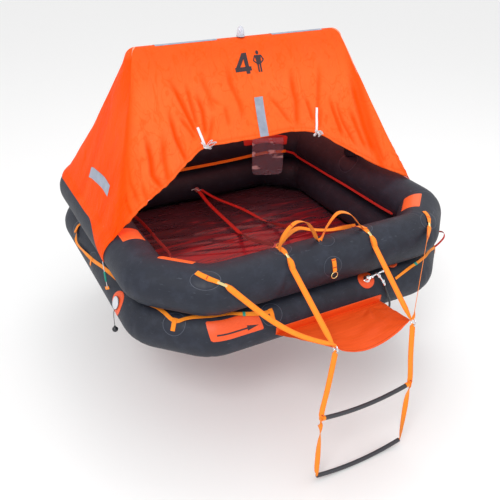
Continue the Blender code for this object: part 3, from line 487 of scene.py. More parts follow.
def capped(name, rows, uv=None, sharp=50):
    """A mesh round a line of rings, closed by a flat cap at each end."""
    mesh = grid_mesh(name, rows, wrap_across=True, uv=uv, sharp=sharp)
    work = bmesh.new()
    work.from_mesh(mesh)
    bmesh.ops.holes_fill(work, edges=[edge for edge in work.edges if edge.is_boundary], sides=0)
    bmesh.ops.recalc_face_normals(work, faces=work.faces)
    work.to_mesh(mesh)
    work.free()
    mesh.set_sharp_from_angle(angle=radians(sharp))
    return mesh


rows = tube_rows(arch_line, lambda i: arch_radius - (0.0012 if i % 24 == 12 else 0), 36)
show(capped("canopy_arch", rows, uv=lambda r, c: (r * 0.012, c * 0.0087)), tube_fabric, "tube_rubber", "arch_tube")


# Canopy: one coated cloth over the arch, down to the upper tube at the sides and back, and open at the front, where
# its hem is gathered on a cord and held up by two ties. Folds run up from the ties and down to the two corners.
canopy_fabric, nodes = new_material("Orange canopy cloth", (0.93, 0.13, 0.012), 0.6, Specular_IOR_Level=0.05)
spot = nodes.place()
tone = nodes.mix(nodes.noise(3.2, 5, spot, Roughness=0.55), (0.9, 0.118, 0.01), (0.93, 0.16, 0.042))
# Painted shade: the cloth's orange deepens toward the ridge.
painted_ridge_shade = nodes.span(nodes.put("SeparateXYZ", {0: spot}, 2), 0, 0.85, 0.93, 1.14)
tone = nodes.mix(painted_ridge_shade, tone, (0.9, 0.085, 0.01))
# Painted shade: deeper orange where the mesh marks folds, the hem, the front corners, the ends and the back.
tone = nodes.mix(nodes.put("Attribute", out="Fac", attribute_name="painted_fold_shade"), tone, (0.9, 0.066, 0))
# Painted shade: thin lines of deeper orange along soft creases.
soft_fold = nodes.noise(3.6, 2.5, nodes.stretch(spot, (3.4, 3.4, 1.5)), Distortion=1.3)
painted_crease_distance = nodes.math("ABSOLUTE", nodes.math("SUBTRACT", soft_fold, 0.5))
tone = nodes.mix(nodes.span(painted_crease_distance, 0.55, 0, 0, 0.03), tone, (0.88, 0.08, 0.004))
crease = nodes.noise(3, 7, nodes.stretch(spot, (7, 7, 2.4)), Roughness=0.62, Distortion=0.7)
crumple = nodes.noise(24, 6, spot, Roughness=0.6)
nodes.feed(Base_Color=tone, Normal=nodes.bump(0.5, 0.005, crumple, nodes.bump(0.75, 0.016, crease)))
# Painted light: the inner side glows red-orange, though it is no lamp, for the light that comes through the cloth.
canopy_lining_glow, nodes = new_material("Canopy cloth, inner side, painted glow", (0.9, 0.1, 0.012), 0.6,
                                    Emission_Color=(1, 0.34, 0.3, 1), Emission_Strength=0.66)

front_hem = ((-0.546, -0.776, -0.36, 0.475), (-0.5, -0.638, -0.314, 0.548), (-0.43, -0.525, -0.281, 0.601),
             (-0.34, -0.405, -0.238, 0.671), (-0.27, -0.317, -0.215, 0.708), (-0.15, -0.183, -0.211, 0.714),
             (0, -0.02, -0.212, 0.714), (0.14, 0.153, -0.209, 0.717), (0.27, 0.3, -0.224, 0.694),
             (0.36, 0.42, -0.268, 0.621), (0.425, 0.54, -0.314, 0.549), (0.485, 0.672, -0.359, 0.476),
             (0.546, 0.806, -0.388, 0.418))
left_flap = ((-0.326, 57), (-0.323, 41), (-0.318, 25), (-0.308, 7), (-0.285, -13), (-0.2, 4), (-0.12, 26),
             (-0.03, shoulder_angle), (0.06, shoulder_angle))
right_flap = ((-0.378, 57), (-0.362, 41), (-0.343, 25), (-0.32, 7), *left_flap[4:])
arc_rows, fall_rows, wrap_rows, curl_rows = 7, 44, 14, 5
settled_rows, soft_turns, corner_columns = 55, 8, 7
cloth_round, curl_radius = arch_radius + 0.006, 0.0065


def cloth_column(ridge_x, wraps, curl):
    """One line of the cloth, from the top of the ridge over its round to the first of the wraps and on."""
    top, knee = Vector((ridge_x, ridge_y, arch_z)), wraps[0]
    fall = Vector((knee.x - top.x, knee.y - top.y, 0))
    out, down = fall.normalized(), knee.z - top.z
    leave = atan2(down, fall.length) + acos(cloth_round / hypot(fall.length, down))
    column = []
    for step in range(arc_rows):
        angle = pi / 2 + (leave - pi / 2) * step / (arc_rows - 1)
        column.append(top + out * (cloth_round * cos(angle)) + z_way * (cloth_round * sin(angle)))
    start = column[-1]
    column += [start.lerp(knee, step / fall_rows) for step in range(1, fall_rows + 1)]
    column += wraps[1:]
    back = (wraps[-1] - wraps[-2]).normalized()
    for step in range(1, curl_rows + 1):
        angle = pi * 1.25 * step / curl_rows
        column.append(wraps[-1] + back * (0.0008 * step) if not curl else
                      wraps[-1] + y_way * (curl_radius - curl_radius * cos(angle)) + back * (curl_radius * sin(angle)))
    return column


def wrapped_column(along, angle):
    """A line of the cloth that ends on the tube at an angle round it."""
    ridge_x, touch = min(ridge_half, half_loop - abs(along)), max(cloth_touch, angle)
    parts = [step / wrap_rows for step in range(wrap_rows + 1)]
    wraps = [on_tube(upper_z, along, touch + (angle - touch) * part, 0.0072 - 0.003 * part) for part in parts]
    return cloth_column(ridge_x if along > 0 else -ridge_x, wraps, False)


def front_column(ridge_x, hem):
    """A line of the cloth that ends in the front's hem."""
    top = Vector((ridge_x, ridge_y, ridge_top))
    wraps = [hem.lerp(top, 0.16 * (1 - step / wrap_rows)) for step in range(wrap_rows + 1)]
    return cloth_column(ridge_x, wraps, True)


def between(first, second, count):
    """Columns that pass from one to the next."""
    return [[a.lerp(b, step / (count + 1)) for a, b in zip(first, second)] for step in range(1, count + 1)]


sides = []
for flap in (right_flap, left_flap):
    side = [(spot.x, spot.y) for spot in smooth_route([Vector((side_middle + y, angle, 0)) for y, angle in flap], 7)]
    last = side[-1][0]
    steps = round((half_loop - last) / 0.0125)
    sides.append(side + [(last + (half_loop - last) * step / steps, shoulder_angle) for step in range(1, steps + 1)])
right_columns = [wrapped_column(along, angle) for along, angle in sides[0]]
left_columns = [wrapped_column(-along, angle) for along, angle in sides[1][:-1]]
hem_line = smooth_route([Vector(row[1:]) for row in front_hem], 20)
ridge_line = smooth_route([x_way * row[0] for row in front_hem], 20)
front_columns = [front_column(place.x, hem) for place, hem in zip(ridge_line, hem_line)]
columns = front_columns + between(front_columns[-1], right_columns[0], corner_columns) + right_columns
columns += list(reversed(left_columns)) + between(left_columns[0], front_columns[0], corner_columns)
count, front_count, last_row = len(columns), len(front_columns), len(columns[0]) - 1
for turn in range(soft_turns):
    smooth = [
        [(columns[i - 1][j] + 2 * columns[i][j] + columns[(i + 1) % count][j]) / 4
         for j in range(arc_rows, settled_rows)] for i in range(count)
    ]
    for i in range(count):
        columns[i][arc_rows:settled_rows] = smooth[i]


# Folds of the front, each a line of places (x, distance down from the ridge) with its width and depth
front_folds = (
    (((-0.426, 0.16), (-0.396, 0.24), (-0.368, 0.34), (-0.34, 0.44)), 0.01, 0.0075),
    (((-0.343, 0.19), (-0.335, 0.3), (-0.33, 0.4)), 0.009, 0.006),
    (((-0.304, 0.24), (-0.285, 0.34), (-0.296, 0.45)), 0.01, 0.007),
    (((-0.266, 0.15), (-0.238, 0.27), (-0.232, 0.33)), 0.013, 0.0045),
    (((-0.455, 0.3), (-0.446, 0.44), (-0.42, 0.56)), 0.01, 0.008),
    (((-0.412, 0.34), (-0.38, 0.4), (-0.35, 0.46)), 0.009, 0.006),
    (((-0.588, 0.39), (-0.587, 0.52), (-0.596, 0.59), (-0.565, 0.66)), 0.011, 0.009),
    (((-0.505, 0.4), (-0.526, 0.54), (-0.527, 0.64)), 0.012, 0.006),
    (((-0.733, 0.52), (-0.748, 0.65), (-0.735, 0.76)), 0.011, 0.0075),
    (((-0.692, 0.46), (-0.706, 0.6), (-0.69, 0.7)), 0.01, 0.006),
    (((-0.65, 0.6), (-0.652, 0.66), (-0.64, 0.72)), 0.009, 0.005),
    (((-0.236, 0.36), (-0.262, 0.43), (-0.29, 0.49)), 0.009, 0.005),
    (((-0.111, 0.12), (-0.116, 0.23), (-0.087, 0.33), (-0.084, 0.39)), 0.012, 0.0055),
    (((-0.263, 0.19), (-0.236, 0.25), (-0.23, 0.29), (-0.19, 0.32)), 0.009, 0.004),
    (((-0.171, 0.32), (-0.166, 0.42)), 0.009, 0.0045),
    (((0.07, 0.3), (0.125, 0.38), (0.162, 0.45)), 0.009, 0.005),
    (((0.231, 0.18), (0.221, 0.3), (0.225, 0.36), (0.203, 0.48)), 0.014, 0.0065),
    (((0.28, 0.33), (0.294, 0.42), (0.298, 0.47)), 0.009, 0.006),
    (((0.406, 0.18), (0.372, 0.3), (0.345, 0.4), (0.32, 0.5)), 0.011, 0.005),
    (((0.583, 0.2), (0.587, 0.36), (0.598, 0.53), (0.63, 0.71)), 0.022, 0.01),
    (((0.42, 0.35), (0.43, 0.44), (0.452, 0.57)), 0.01, 0.0065),
    (((0.452, 0.37), (0.47, 0.5), (0.52, 0.63)), 0.009, 0.006),
    (((0.64, 0.55), (0.655, 0.65), (0.675, 0.75)), 0.01, 0.006),
    (((0.52, 0.42), (0.545, 0.54), (0.575, 0.66)), 0.011, 0.007),
    (((0.365, 0.39), (0.345, 0.46), (0.325, 0.51)), 0.009, 0.005),
)


def fold_at(x, drop):
    """How far the folds move the cloth at a place on the front, and how much painted shade the place takes in them."""
    depth, bulge, mask = 0.0, 0.0, 0.0
    for line, width, deep in front_folds:
        if not (line[0][1] - 0.06 < drop < line[-1][1] + 0.06 and abs(x - line[0][0]) < 0.2):
            continue
        whole = sum((Vector(b) - Vector(a)).length for a, b in zip(line, line[1:]))
        near, walked = (9, 0, 0), 0.0
        for a, b in zip(line, line[1:]):
            first, step = Vector(a), Vector(b) - Vector(a)
            share = limited((Vector((x, drop)) - first).dot(step) / step.length_squared)
            off = Vector((x, drop)) - first - step * share
            if off.length < near[0]:
                side = 1 if step.x * off.y - step.y * off.x > 0 else -1
                near = (off.length, (walked + share * step.length) / whole, side)
            walked += step.length
        far, part, side = near
        taper = min(1, part / 0.3) * (0.35 + 0.65 * min(1, (1 - part) / 0.12))
        depth = max(depth, deep * taper * hump(far, 0, width))
        mask = max(mask, taper * hump(far, 0, width * 1.15) * min(1, deep / 0.0075))
        bulge = max(bulge, 0.55 * deep * taper * hump(far, 2.2 * width, 1.1 * width) * (1 + 0.4 * side))
    return bulge - depth, mask


def cloth_relief(i, j, place):
    """How far the cloth stands out from its taut shape at column i and row j, and how much painted shade it takes."""
    part = max(0, j - arc_rows) / (fall_rows + wrap_rows)
    fine = 0.0018 * noise.noise(place * 9) + 0.0036 * noise.noise(Vector((place.x * 3, place.y * 3, place.z * 2)))
    rise = fine * min(1, part * 6)
    if i < front_count:
        x, drop = hem_line[i].x, hypot(place.y - ridge_y, ridge_top - place.z)
        lift, mask = fold_at(place.x, drop)
        rise += lift
        rise += 0.01 * hump(x, -0.64, 0.15) * noise.noise(Vector((x * 14, 2.2, part * 1.2))) * part ** 1.5
        rise += 0.003 * exp(-(1 - part) / 0.05) * noise.noise(Vector((x * 26, 3.3, 0.7)))
        hem_roll = hump(part, 0.945, 0.014)
        rise -= 0.0016 * hem_roll
        # Painted shade along the hem's roll and its edge, and down the big fold on the right.
        mask = max(mask, 0.45 * hem_roll, 0.35 * hump(part, 1, 0.02))
        mask = max(mask, 0.8 * hump(place.x, 0.6 + 0.05 * part, 0.032) * min(1, part * 5))
    else:
        off_leg = 1 - hump(place.y, ridge_y, 0.13)
        sag = sin(pi * min(1, part / 0.76)) if part < 0.76 else 0
        front_side = limited((0.1 - place.y) / 0.2) if place.x < 0 else 0
        rise -= 0.014 * sag * off_leg * (1 - front_side)
        rise += 0.006 * noise.noise(Vector((place.x * 8, place.y * 11, place.z * 2.2))) * sag * off_leg
        corner = hump(place.y, -0.29, 0.075) * min(1, part * 1.2) if place.z < 0.75 else 0
        rise += 0.007 * corner * (1 - abs(sin(place.y * 150 + place.z * 9)))
        # Painted shade over the ends and back, deeper along the flap's folds.
        mask = 0.85 + 0.4 * noise.noise(Vector((place.x * 5, place.y * 12 + place.z * 2, place.z * 2)))
        flap_fold = abs(sin(place.y * 75 + place.x * 20 + 1.5 * noise.noise(place * 7)))
        mask = max(0, mask, 0.9 * (1 - flap_fold) ** 1.5 * hump(place.y, -0.36, 0.14))
    # Painted shade at the two front corners.
    corner_middle = (corner_columns + 1) // 2
    from_corner = min(abs(i - count + corner_middle), i + corner_middle)
    return max(rise, -0.016), max(mask, 0.95 * hump(from_corner, 0, 9) * min(1, part * 5))


rows, painted_fold_shades = [], []
for j in range(last_row + 1):
    rows.append([])
    for i, column in enumerate(columns):
        after = min(j + 1, last_row)
        across = columns[(i + 1) % count][after] - columns[i - 1][after]
        down = column[after] - column[max(j - 1, 0)]
        out = down.cross(across).normalized() if j > 0 else z_way
        fade = 1 if j < arc_rows + fall_rows or i < front_count else 0.25
        lift, mask = cloth_relief(i, j, column[j]) if j >= arc_rows else (0, 0)
        rows[-1].append(column[j] + out * (lift * fade))
        painted_fold_shades.append(mask)
mesh = grid_mesh("canopy_cloth", rows, wrap_across=True, uv=lambda r, c: (c * 0.01, r * 0.01))
mesh.attributes.new("painted_fold_shade", "FLOAT", "POINT").data.foreach_set("value", painted_fold_shades)
work = bmesh.new()
work.from_mesh(mesh)
bmesh.ops.remove_doubles(work, verts=work.verts, dist=0.00005)
bmesh.ops.recalc_face_normals(work, faces=work.faces)
if max(work.faces, key=lambda face: face.calc_center_median().z).normal.z < 0:
    bmesh.ops.reverse_faces(work, faces=work.faces)
canopy_surface = BVHTree.FromBMesh(work)
canopy_area = sum(face.calc_area() for face in work.faces)
work.to_mesh(mesh)
work.free()
canopy_cloth = show(mesh, canopy_fabric, "canopy_cloth", "canopy")
thicken(canopy_cloth, 0.0012).material_offset = 1
mesh.materials.append(canopy_lining_glow)


# Marks on the canopy: grey reflective tapes on the ridge, the front and both ends, and a printed number with a
# plain figure for how many people the raft takes. Each is laid on the cloth and follows its folds.
tape_film, nodes = new_material("Grey reflective tape", (0.3, 0.34, 0.44), 0.35, Metallic=0.35)
spot = nodes.place()
cells = nodes.put("TexVoronoi", {"Vector": spot, "Scale": 260}, "Distance")
nodes.feed(Base_Color=nodes.mix(nodes.noise(34, 4, spot), (0.2, 0.23, 0.31), (0.44, 0.48, 0.58)),
           Normal=nodes.bump(0.3, 0.0006, cells))
ink, nodes = new_material("Dark printing ink", (0.028, 0.018, 0.026), 0.7)
worn = nodes.span(nodes.noise(55, 6), 0, 0.55, 0.58, 0.72)
nodes.feed(Base_Color=nodes.mix(worn, (0.026, 0.016, 0.024), (0.35, 0.07, 0.02)))
mark_lift, hands = 0.0011, (("left", -1), ("right", 1))


def on_cloth(start, toward):
    """The place where a line from a start meets the canopy, lifted off the cloth."""
    hit, normal, face, reach = canopy_surface.ray_cast(Vector(start), Vector(toward))
    return hit - normal * mark_lift if normal.dot(Vector(toward)) > 0 else hit + normal * mark_lift


def four_sided(corners, high, wide):
    """Rows of places within four corners, given bottom left, bottom right, top right and top left."""
    a, b, c, d = (Vector(corner) for corner in corners)
    return [
        [a.lerp(b, j / wide).lerp(d.lerp(c, j / wide), i / high) for j in range(wide + 1)] for i in range(high + 1)
    ]


def round_rows(x, z, radius):
    """Rows of places that fill a disc."""
    shares = [i / 3 - 1 for i in range(7)]
    return [[Vector((x + radius * u * sqrt(1 - v * v / 2), z + radius * v * sqrt(1 - u * u / 2))) for u in shares]
            for v in shares]


def mark(name, patches, place, finish):
    """A thin mark made of patches of rows, each laid on the cloth by a function of its two coordinates."""
    points, faces = [], []
    for rows in patches:
        first, wide = len(points), len(rows[0])
        points += [place(spot) for row in rows for spot in row]
        for r in range(len(rows) - 1):
            for c in range(wide - 1):
                low = first + r * wide + c
                faces.append((low, low + 1, low + wide + 1, low + wide))
    mesh = bpy.data.meshes.new(name)
    mesh.from_pydata(points, [], faces)
    mesh.shade_smooth()
    show(mesh, finish, "canopy_cloth")


def front_place(spot):
    return on_cloth((spot[0], -1.2, spot[1]), y_way)


def stroke(start, end, width):
    """A straight stroke between two places."""
    start, end = Vector(start), Vector(end)
    side = (end - start).normalized().orthogonal() * (width / 2)
    return four_sided((start - side, start + side, end + side, end - side), 6, 2)


def block(left, low, right, high, rows, columns):
    """A rectangle, from its left, low, right and high edges."""
    return four_sided(((left, low), (right, low), (right, high), (left, high)), rows, columns)


mark("capacity_number", [
    stroke((-0.009, 0.988), (-0.013, 1.078), 0.021), block(-0.077, 1, 0.012, 1.0185, 2, 10),
    four_sided(((-0.077, 1.011), (-0.054, 1.011), (-0.004, 1.078), (-0.027, 1.078)), 8, 3)], front_place, ink)
figure_x = 0.058
figure = [round_rows(figure_x - 0.001, 1.0745, 0.0085),
          four_sided(((figure_x - 0.0108, 1.0215), (figure_x + 0.0108, 1.0215),
                      (figure_x + 0.0175, 1.063), (figure_x - 0.0175, 1.063)), 6, 4)]
limbs = (((0.0165, 1.0615), (0.0285, 1.04), 0.0062), ((0.028, 1.0415), (0.0105, 1.027), 0.0056),
         ((0.0064, 1.025), (0.0062, 0.989), 0.0086))
for hand, side in hands:
    for (x, z), (end_x, end_z), width in limbs:
        figure.append(stroke((figure_x + side * x, z), (figure_x + side * end_x, end_z), width))
mark("capacity_figure", figure, front_place, ink)

mark("front_tape", [four_sided(((-0.018, 0.7135), (0.029, 0.7135), (0.041, 0.884), (-0.007, 0.884)), 30, 8)],
     front_place, tape_film)
for hand, side in hands:
    centre = ((0.17, 0.527, 0), (0.11, 0.541, 0), (0.03, 0.55, 0), (-0.05, 0.552, 0), (-0.135, 0.546, 0))
    band = [[Vector((spot.x, spot.y + rise)) for rise in (-0.026, -0.009, 0.009, 0.026)]
            for spot in smooth_route(centre, 9)]
    mark(f"end_tape_{hand}", [band], lambda spot: on_cloth((side * 1.3, *spot), (-side, 0, 0)), tape_film)
for hand, start, end in (("left", -0.445, -0.13), ("right", 0.172, 0.47)):
    mark(f"ridge_tape_{hand}", [block(start, 0.03, end, 0.074, 6, 30)],
         lambda spot: on_cloth((*spot, 1.5), (0, 0, -1)), tape_film)


# Lamp on the ridge: a clear dome over a small bulb, on a round foot that is welded to the cloth. All three are
# turned about one upright axis.
clear_plastic = new_material("Clear lamp plastic", (0.8, 0.82, 0.9), 0.12, Transmission_Weight=0.45, IOR=1.35)[0]
lamp_foot = new_material("Grey lamp foot", (0.42, 0.44, 0.5), 0.4)[0]
bulb = new_material("Lamp bulb", (0.8, 0.82, 0.9), 0.2)[0]
lamp_place = Vector((0, ridge_y - 0.005, ridge_top + 0.0003))
for name, finish, steps, profile in (
    ("dome", clear_plastic, 32, ((0, 0.0045), (0.016, 0.0045), (0.0182, 0.006), (0.018, 0.018), (0.0166, 0.03),
                                 (0.0132, 0.039), (0.0084, 0.045), (0.0038, 0.0482), (0, 0.049))),
    ("foot", lamp_foot, 32, ((0, 0), (0.021, 0), (0.0212, 0.0015), (0.0206, 0.004), (0.0195, 0.005),
                             (0.019, 0.0075), (0, 0.0075))),
    ("bulb", bulb, 20, ((0, 0.008), (0.004, 0.008), (0.0045, 0.018), (0.006, 0.024), (0.0052, 0.031), (0, 0.034))),
):
    turned(f"lamp_{name}", profile, lamp_place, z_way, finish, "lamp_plastic", "canopy_lamp", steps)


# Two ties that hold the canopy's front up: each is a white tape sewn to the cloth above the hem and tied in a bow
# under it. The weave and the darker selvedges serve every webbing on the raft.
web_group, nodes, given = new_group(
    "Webbing weave", {"Base": (0, 0, 0, 1), "Edge": (0, 0, 0, 1), "Half width": 0.01}, Color="Color", Height="Float")
spot = nodes.put("UVMap")
from_middle = nodes.math("ABSOLUTE", nodes.put("SeparateXYZ", {0: spot}, 1))
selvedge = nodes.span(nodes.math("DIVIDE", from_middle, given["Half width"]), 0, 0.55, 0.72, 0.98)
darker = nodes.span(nodes.noise(24, 5), 0, 0.35, 0.4, 0.75)
ribs, lines = (nodes.put("TexWave", {"Vector": spot, "Scale": scale}, "Fac", bands_direction=way)
               for way, scale in (("X", 130), ("Y", 90)))
nodes.feed(Color=nodes.mix(nodes.math("MAXIMUM", selvedge, darker), given["Base"], given["Edge"]),
           Height=nodes.math("MULTIPLY", ribs, lines))


def woven(name, base, edge, half_width):
    """A webbing material: the weave group with its colours."""
    made, nodes = new_material(name, base, 0.72, Specular_IOR_Level=0.3, Sheen_Weight=0.1)
    weave = nodes.group(web_group, Base=(*base, 1), Edge=(*edge, 1), Half_width=half_width)
    nodes.feed(Base_Color=weave["Color"], Normal=nodes.bump(0.5, 0.0005, weave["Height"]))
    return made


white_tape = woven("White tie tape", (0.82, 0.8, 0.82), (0.62, 0.58, 0.62), 0.005)
web_profile = ((-0.5, 0), (-0.48, 0.4), (-0.42, 0.5), (0, 0.5), (0.42, 0.5), (0.48, 0.4),
               (0.5, 0), (0.48, -0.4), (0.42, -0.5), (0, -0.5), (-0.42, -0.5), (-0.48, -0.4))


def ribbon(name, points, across, width, thick, finish, slot, stands_for="", body="raft", widths=None):
    """A flat woven band along points. Across is its width's direction, one for all points or one for each."""
    sides = across if isinstance(across, list) else [Vector(across)] * len(points)
    rows, run, so_far = [], [], 0.0
    for i, point in enumerate(points):
        so_far += (point - points[i - 1]).length if i else 0
        run.append(so_far)
        ahead = (points[min(i + 1, len(points) - 1)] - points[max(i - 1, 0)]).normalized()
        side = (sides[i] - ahead * sides[i].dot(ahead)).normalized()
        up = side.cross(ahead)
        wide = widths[i] if widths else width
        rows.append([point + side * (wide * a) + up * (thick * b) for a, b in web_profile])
    mesh = capped(name, rows, sharp=75, uv=lambda r, c: (run[r], width * web_profile[c % len(web_profile)][0]))
    return show(mesh, finish, slot, stands_for, body)


knot_profile = ((0, -0.006), (0.004, -0.005), (0.01, -0.001), (0.0092, 0.003), (0.004, 0.006), (0, 0.0065))
for hand, (sewn_x, sewn_z), hem_x, hem_z, ends in (
    ("left", (-0.331, 0.795), -0.316, 0.708, ((0.055, 0.016), (0.034, 0.03), (-0.02, 0.03), (0.03, -0.01))),
    ("right", (0.333, 0.8), 0.304, 0.693, ((0.03, -0.016), (-0.018, -0.014), (0.012, -0.026), (-0.016, 0.01))),
):
    line = [front_place((sewn_x + (hem_x - sewn_x) * part, sewn_z + (hem_z + 0.014 - sewn_z) * part))
            + Vector((0, -0.002, 0.0005)) for part in (0, 0.2, 0.4, 0.6, 0.8, 1)]
    knot = Vector((hem_x, line[-1].y - 0.006, hem_z + 0.002))
    ribbon(f"front_tie_band_{hand}", smooth_route([*line, knot], 4), (1, -0.1, 0), 0.013, 0.0014, white_tape,
           "tie_cord")
    turned(f"front_tie_knot_{hand}", knot_profile, knot, (0.5, -0.3, 0.8), white_tape, "tie_cord", steps=12)
    for number, (across, rise) in enumerate(ends):
        end = knot + Vector((across, -0.004, rise))
        middle, leave = knot.lerp(end, 0.5), knot + Vector((0, -0.003, 0))
        bow = [leave, middle + Vector((0, -0.006, 0.011)), end, middle + Vector((0, -0.004, -0.006)),
               knot + Vector((0, -0.002, 0))]
        loose = [leave, middle + Vector((0, -0.01, 0.004)), end]
        ribbon(f"front_tie_end_{hand}_{number}", smooth_route(bow if number < 2 else loose, 5), (0.35, -0.5, 0.8),
               0.0115, 0.0012, white_tape, "tie_cord")


# Boarding ramp: a strip of orange cloth glued to the lower tube, and an apron that sags between the tube and two
# steel rings. A double row of stitching follows the tube, and folds run in from the rings and the right corner.
ramp_fabric, nodes = new_material("Deep orange ramp cloth", (0.86, 0.085, 0.008), 0.5, Specular_IOR_Level=0.3)
spot = nodes.put("UVMap")
from_tube, threads = nodes.put("SeparateXYZ", {0: spot}, 1), 0
for seam in (0.046, 0.053, 0.338):
    off_seam = nodes.math("ABSOLUTE", nodes.math("SUBTRACT", from_tube, seam))
    threads = nodes.math("MAXIMUM", threads, nodes.math("LESS_THAN", off_seam, 0.0011))
along_base = nodes.stretch(spot, (1.2, 22, 1))
streaked = nodes.mix(nodes.noise(3, 5, along_base, Roughness=0.6), (0.7, 0.055, 0.004), (0.95, 0.125, 0.016))
nodes.feed(Base_Color=nodes.mix(nodes.math("MULTIPLY", threads, 0.55), streaked, (0.33, 0.02, 0.004)),
           Normal=nodes.bump(0.4, 0.004, nodes.noise(5, 6, along_base)))

ring_x, ring_y, ring_z, ring_radius, ring_wire = 0.2, -1.2, 0.17, 0.0145, 0.0025
ramp_half, ramp_sag, ramp_columns, apron_rows = 0.29, 0.084, 72, 46
ramp_root = on_tube(lower_z, 0, -14, 0.0007)
ramp_edge = Vector((0, ring_y + ring_radius + ring_wire + 0.0006, ring_z - 0.002))
shares = [2 * c / ramp_columns - 1 for c in range(ramp_columns + 1)]
rows = [[on_tube(lower_z, ramp_half * x, angle, 0.0009) for x in shares] for angle in range(6, -15, -2)]
glued_rows = len(rows) - 1
for r in range(1, apron_rows + 1):
    part = r / apron_rows
    half = ramp_half + (ring_x - 0.001 - ramp_half) * part
    middle = ramp_root.lerp(ramp_edge, part)
    rows.append([])
    for x in shares:
        rise = 0.0045 * noise.noise(Vector((x * 2.2 + part * 1.5, part * 6, 1.7))) * sin(pi * part)
        for hand, side in hands:
            reach = hypot(side - x, 1.06 - part)
            fan = cos(atan2(side - x, 1.06 - part) * 11 + side)
            rise += 0.003 * fan * hump(reach, 0, 0.55) * min(1, reach * 5)
        corner_reach = hypot((0.72 - x) * 1.5, 0.1 - part)
        fan = cos(atan2(0.1 - part, 0.72 - x) * 7 + 0.8)
        rise += 0.005 * fan * hump(corner_reach, 0, 0.5) * min(1, corner_reach * 6) * min(1, part * 8)
        sag = ramp_sag * part * (1 - x * x)
        rows[-1].append(Vector((half * x, middle.y, middle.z - sag + rise * min(1, part * 5))))
mesh = grid_mesh("boarding_ramp_cloth", rows, uv=lambda r, c: (
    2 * ramp_half * c / ramp_columns, 0.0038 * min(r, glued_rows) + 0.0068 * max(0, r - glued_rows)))
mesh.flip_normals()
ramp_cloth = show(mesh, ramp_fabric, "ramp_cloth", "boarding_ramp")
thicken(ramp_cloth, 0.0016, 0)


# Rings at the ramp's outer corners: polished steel, with the webbing of both straps and the ladder looped on them.
polished, nodes = new_material("Polished steel", (0.78, 0.78, 0.8), 0.16, Metallic=1)
nodes.feed(Roughness=nodes.span(nodes.noise(60, 4), 0.08, 0.26))


def wire_loop(name, centre, axis, radius, wire, finish, slot="steel", stands_for="", body="raft", turns=(0, 360)):
    """A ring of round wire, or a part of one between two angles."""
    spin = z_way.rotation_difference(Vector(axis)).to_matrix()
    whole = turns[1] - turns[0] == 360
    steps, sides = 48 if whole else 12, 12
    rows = []
    for step in range(steps if whole else steps + 1):
        turn = radians(turns[0] + (turns[1] - turns[0]) * step / steps)
        rows.append([
            spin @ Vector(((radius + wire * cos(a)) * cos(turn), (radius + wire * cos(a)) * sin(turn), wire * sin(a)))
            + Vector(centre) for a in rounds(sides)
        ])
    mesh = grid_mesh(name, rows, wrap_across=True, wrap_along=True, sharp=80) if whole else capped(
        name, rows, sharp=80, uv=lambda r, c: (r * 0.001, (c / sides - 0.5) * 0.01))
    show(mesh, finish, slot, stands_for, body)


def ramp_ring(name, side, wire, finish, **more):
    """Something that goes round one of the ramp's rings, the ring itself or webbing on it."""
    wire_loop(name, (side * ring_x, ring_y, ring_z), x_way, ring_radius, wire, finish, **more)


for hand, side in hands:
    ramp_ring(f"ramp_ring_wire_{hand}", side, ring_wire, polished, stands_for=f"ramp_ring_{hand}")


# Boarding straps: to each ring one orange webbing strap from the raft's corner and one over the front tube. A
# short tab is glued to the tube on a round patch, a brass clip joins it to the strap, whose end is sewn double.
orange_web = woven("Orange webbing", (0.93, 0.275, 0.012), (0.8, 0.13, 0.006), 0.01)
red_thread = new_material("Red stitching", (0.55, 0.045, 0.01), 0.7)[0]
brass = new_material("Pale brass", (0.86, 0.7, 0.33), 0.25, Metallic=1)[0]
glued = new_material("Dried glue at a patch's edge", (0.075, 0.085, 0.118), 0.5)[0]
glossy_patch, nodes = new_material("Dark glossy patch", (0.014, 0.017, 0.03), 0.45, Specular_IOR_Level=0.35)
nodes.feed(Roughness=nodes.span(nodes.noise(42, 5, nodes.place()), 0.36, 0.62))


def webbing(name, points, across, width, thick, stands_for="", **more):
    """A ribbon of the orange webbing."""
    ribbon(name, points, across, width, thick, orange_web, "webbing", stands_for, **more)


def tube_disc(name, axis_z, along, angle, radius, thick=0.0009, finish=glossy_patch, slot="tube_rubber",
              stands_for="", shape=lambda turn: 1):
    """A thin round patch that follows a tube, with a bevelled rim. A dark one has a pale line of glue round it."""
    lift = 0.0003

    def ring(reach, rise):
        places = []
        for turn in rounds(44):
            far = reach * radius * shape(turn)
            lean = degrees(far * sin(turn) / tube_radius)
            places.append(on_tube(axis_z, along + far * cos(turn), angle + lean, lift + rise))
        return places

    rings = ((0, 1), (0.35, 1), (0.7, 1), (0.975, 1), (1, 0.4), (1.004, -0.3))
    mesh = grid_mesh(name, [ring(reach, thick * height) for reach, height in rings], wrap_across=True, sharp=60)
    show(mesh, finish, slot, stands_for)
    if finish == glossy_patch:
        line = [ring(reach, 0.0004) for reach in (0.992, 1.028)]
        show(grid_mesh(f"{name}_glue", line, wrap_across=True), glued, slot)


def width_on_tube(axis_z, route):
    """The width's direction of webbing that lies flat along each (along, angle, lift) of its route."""
    spots = [on_tube(axis_z, *place) for place in route]
    found = []
    for i, (along, angle, lift) in enumerate(route):
        ahead = spots[min(i + 1, len(spots) - 1)] - spots[max(i - 1, 0)]
        found.append((on_tube(axis_z, along, angle, lift + 1) - spots[i]).cross(ahead).normalized())
    return found


def ring_spot(side, angle, gap):
    """A place off a ramp ring's wire by a gap, at an angle from +Y in the ring's plane."""
    reach = ring_radius + ring_wire + gap
    return Vector((side * ring_x, ring_y + reach * cos(radians(angle)), ring_z + reach * sin(radians(angle))))


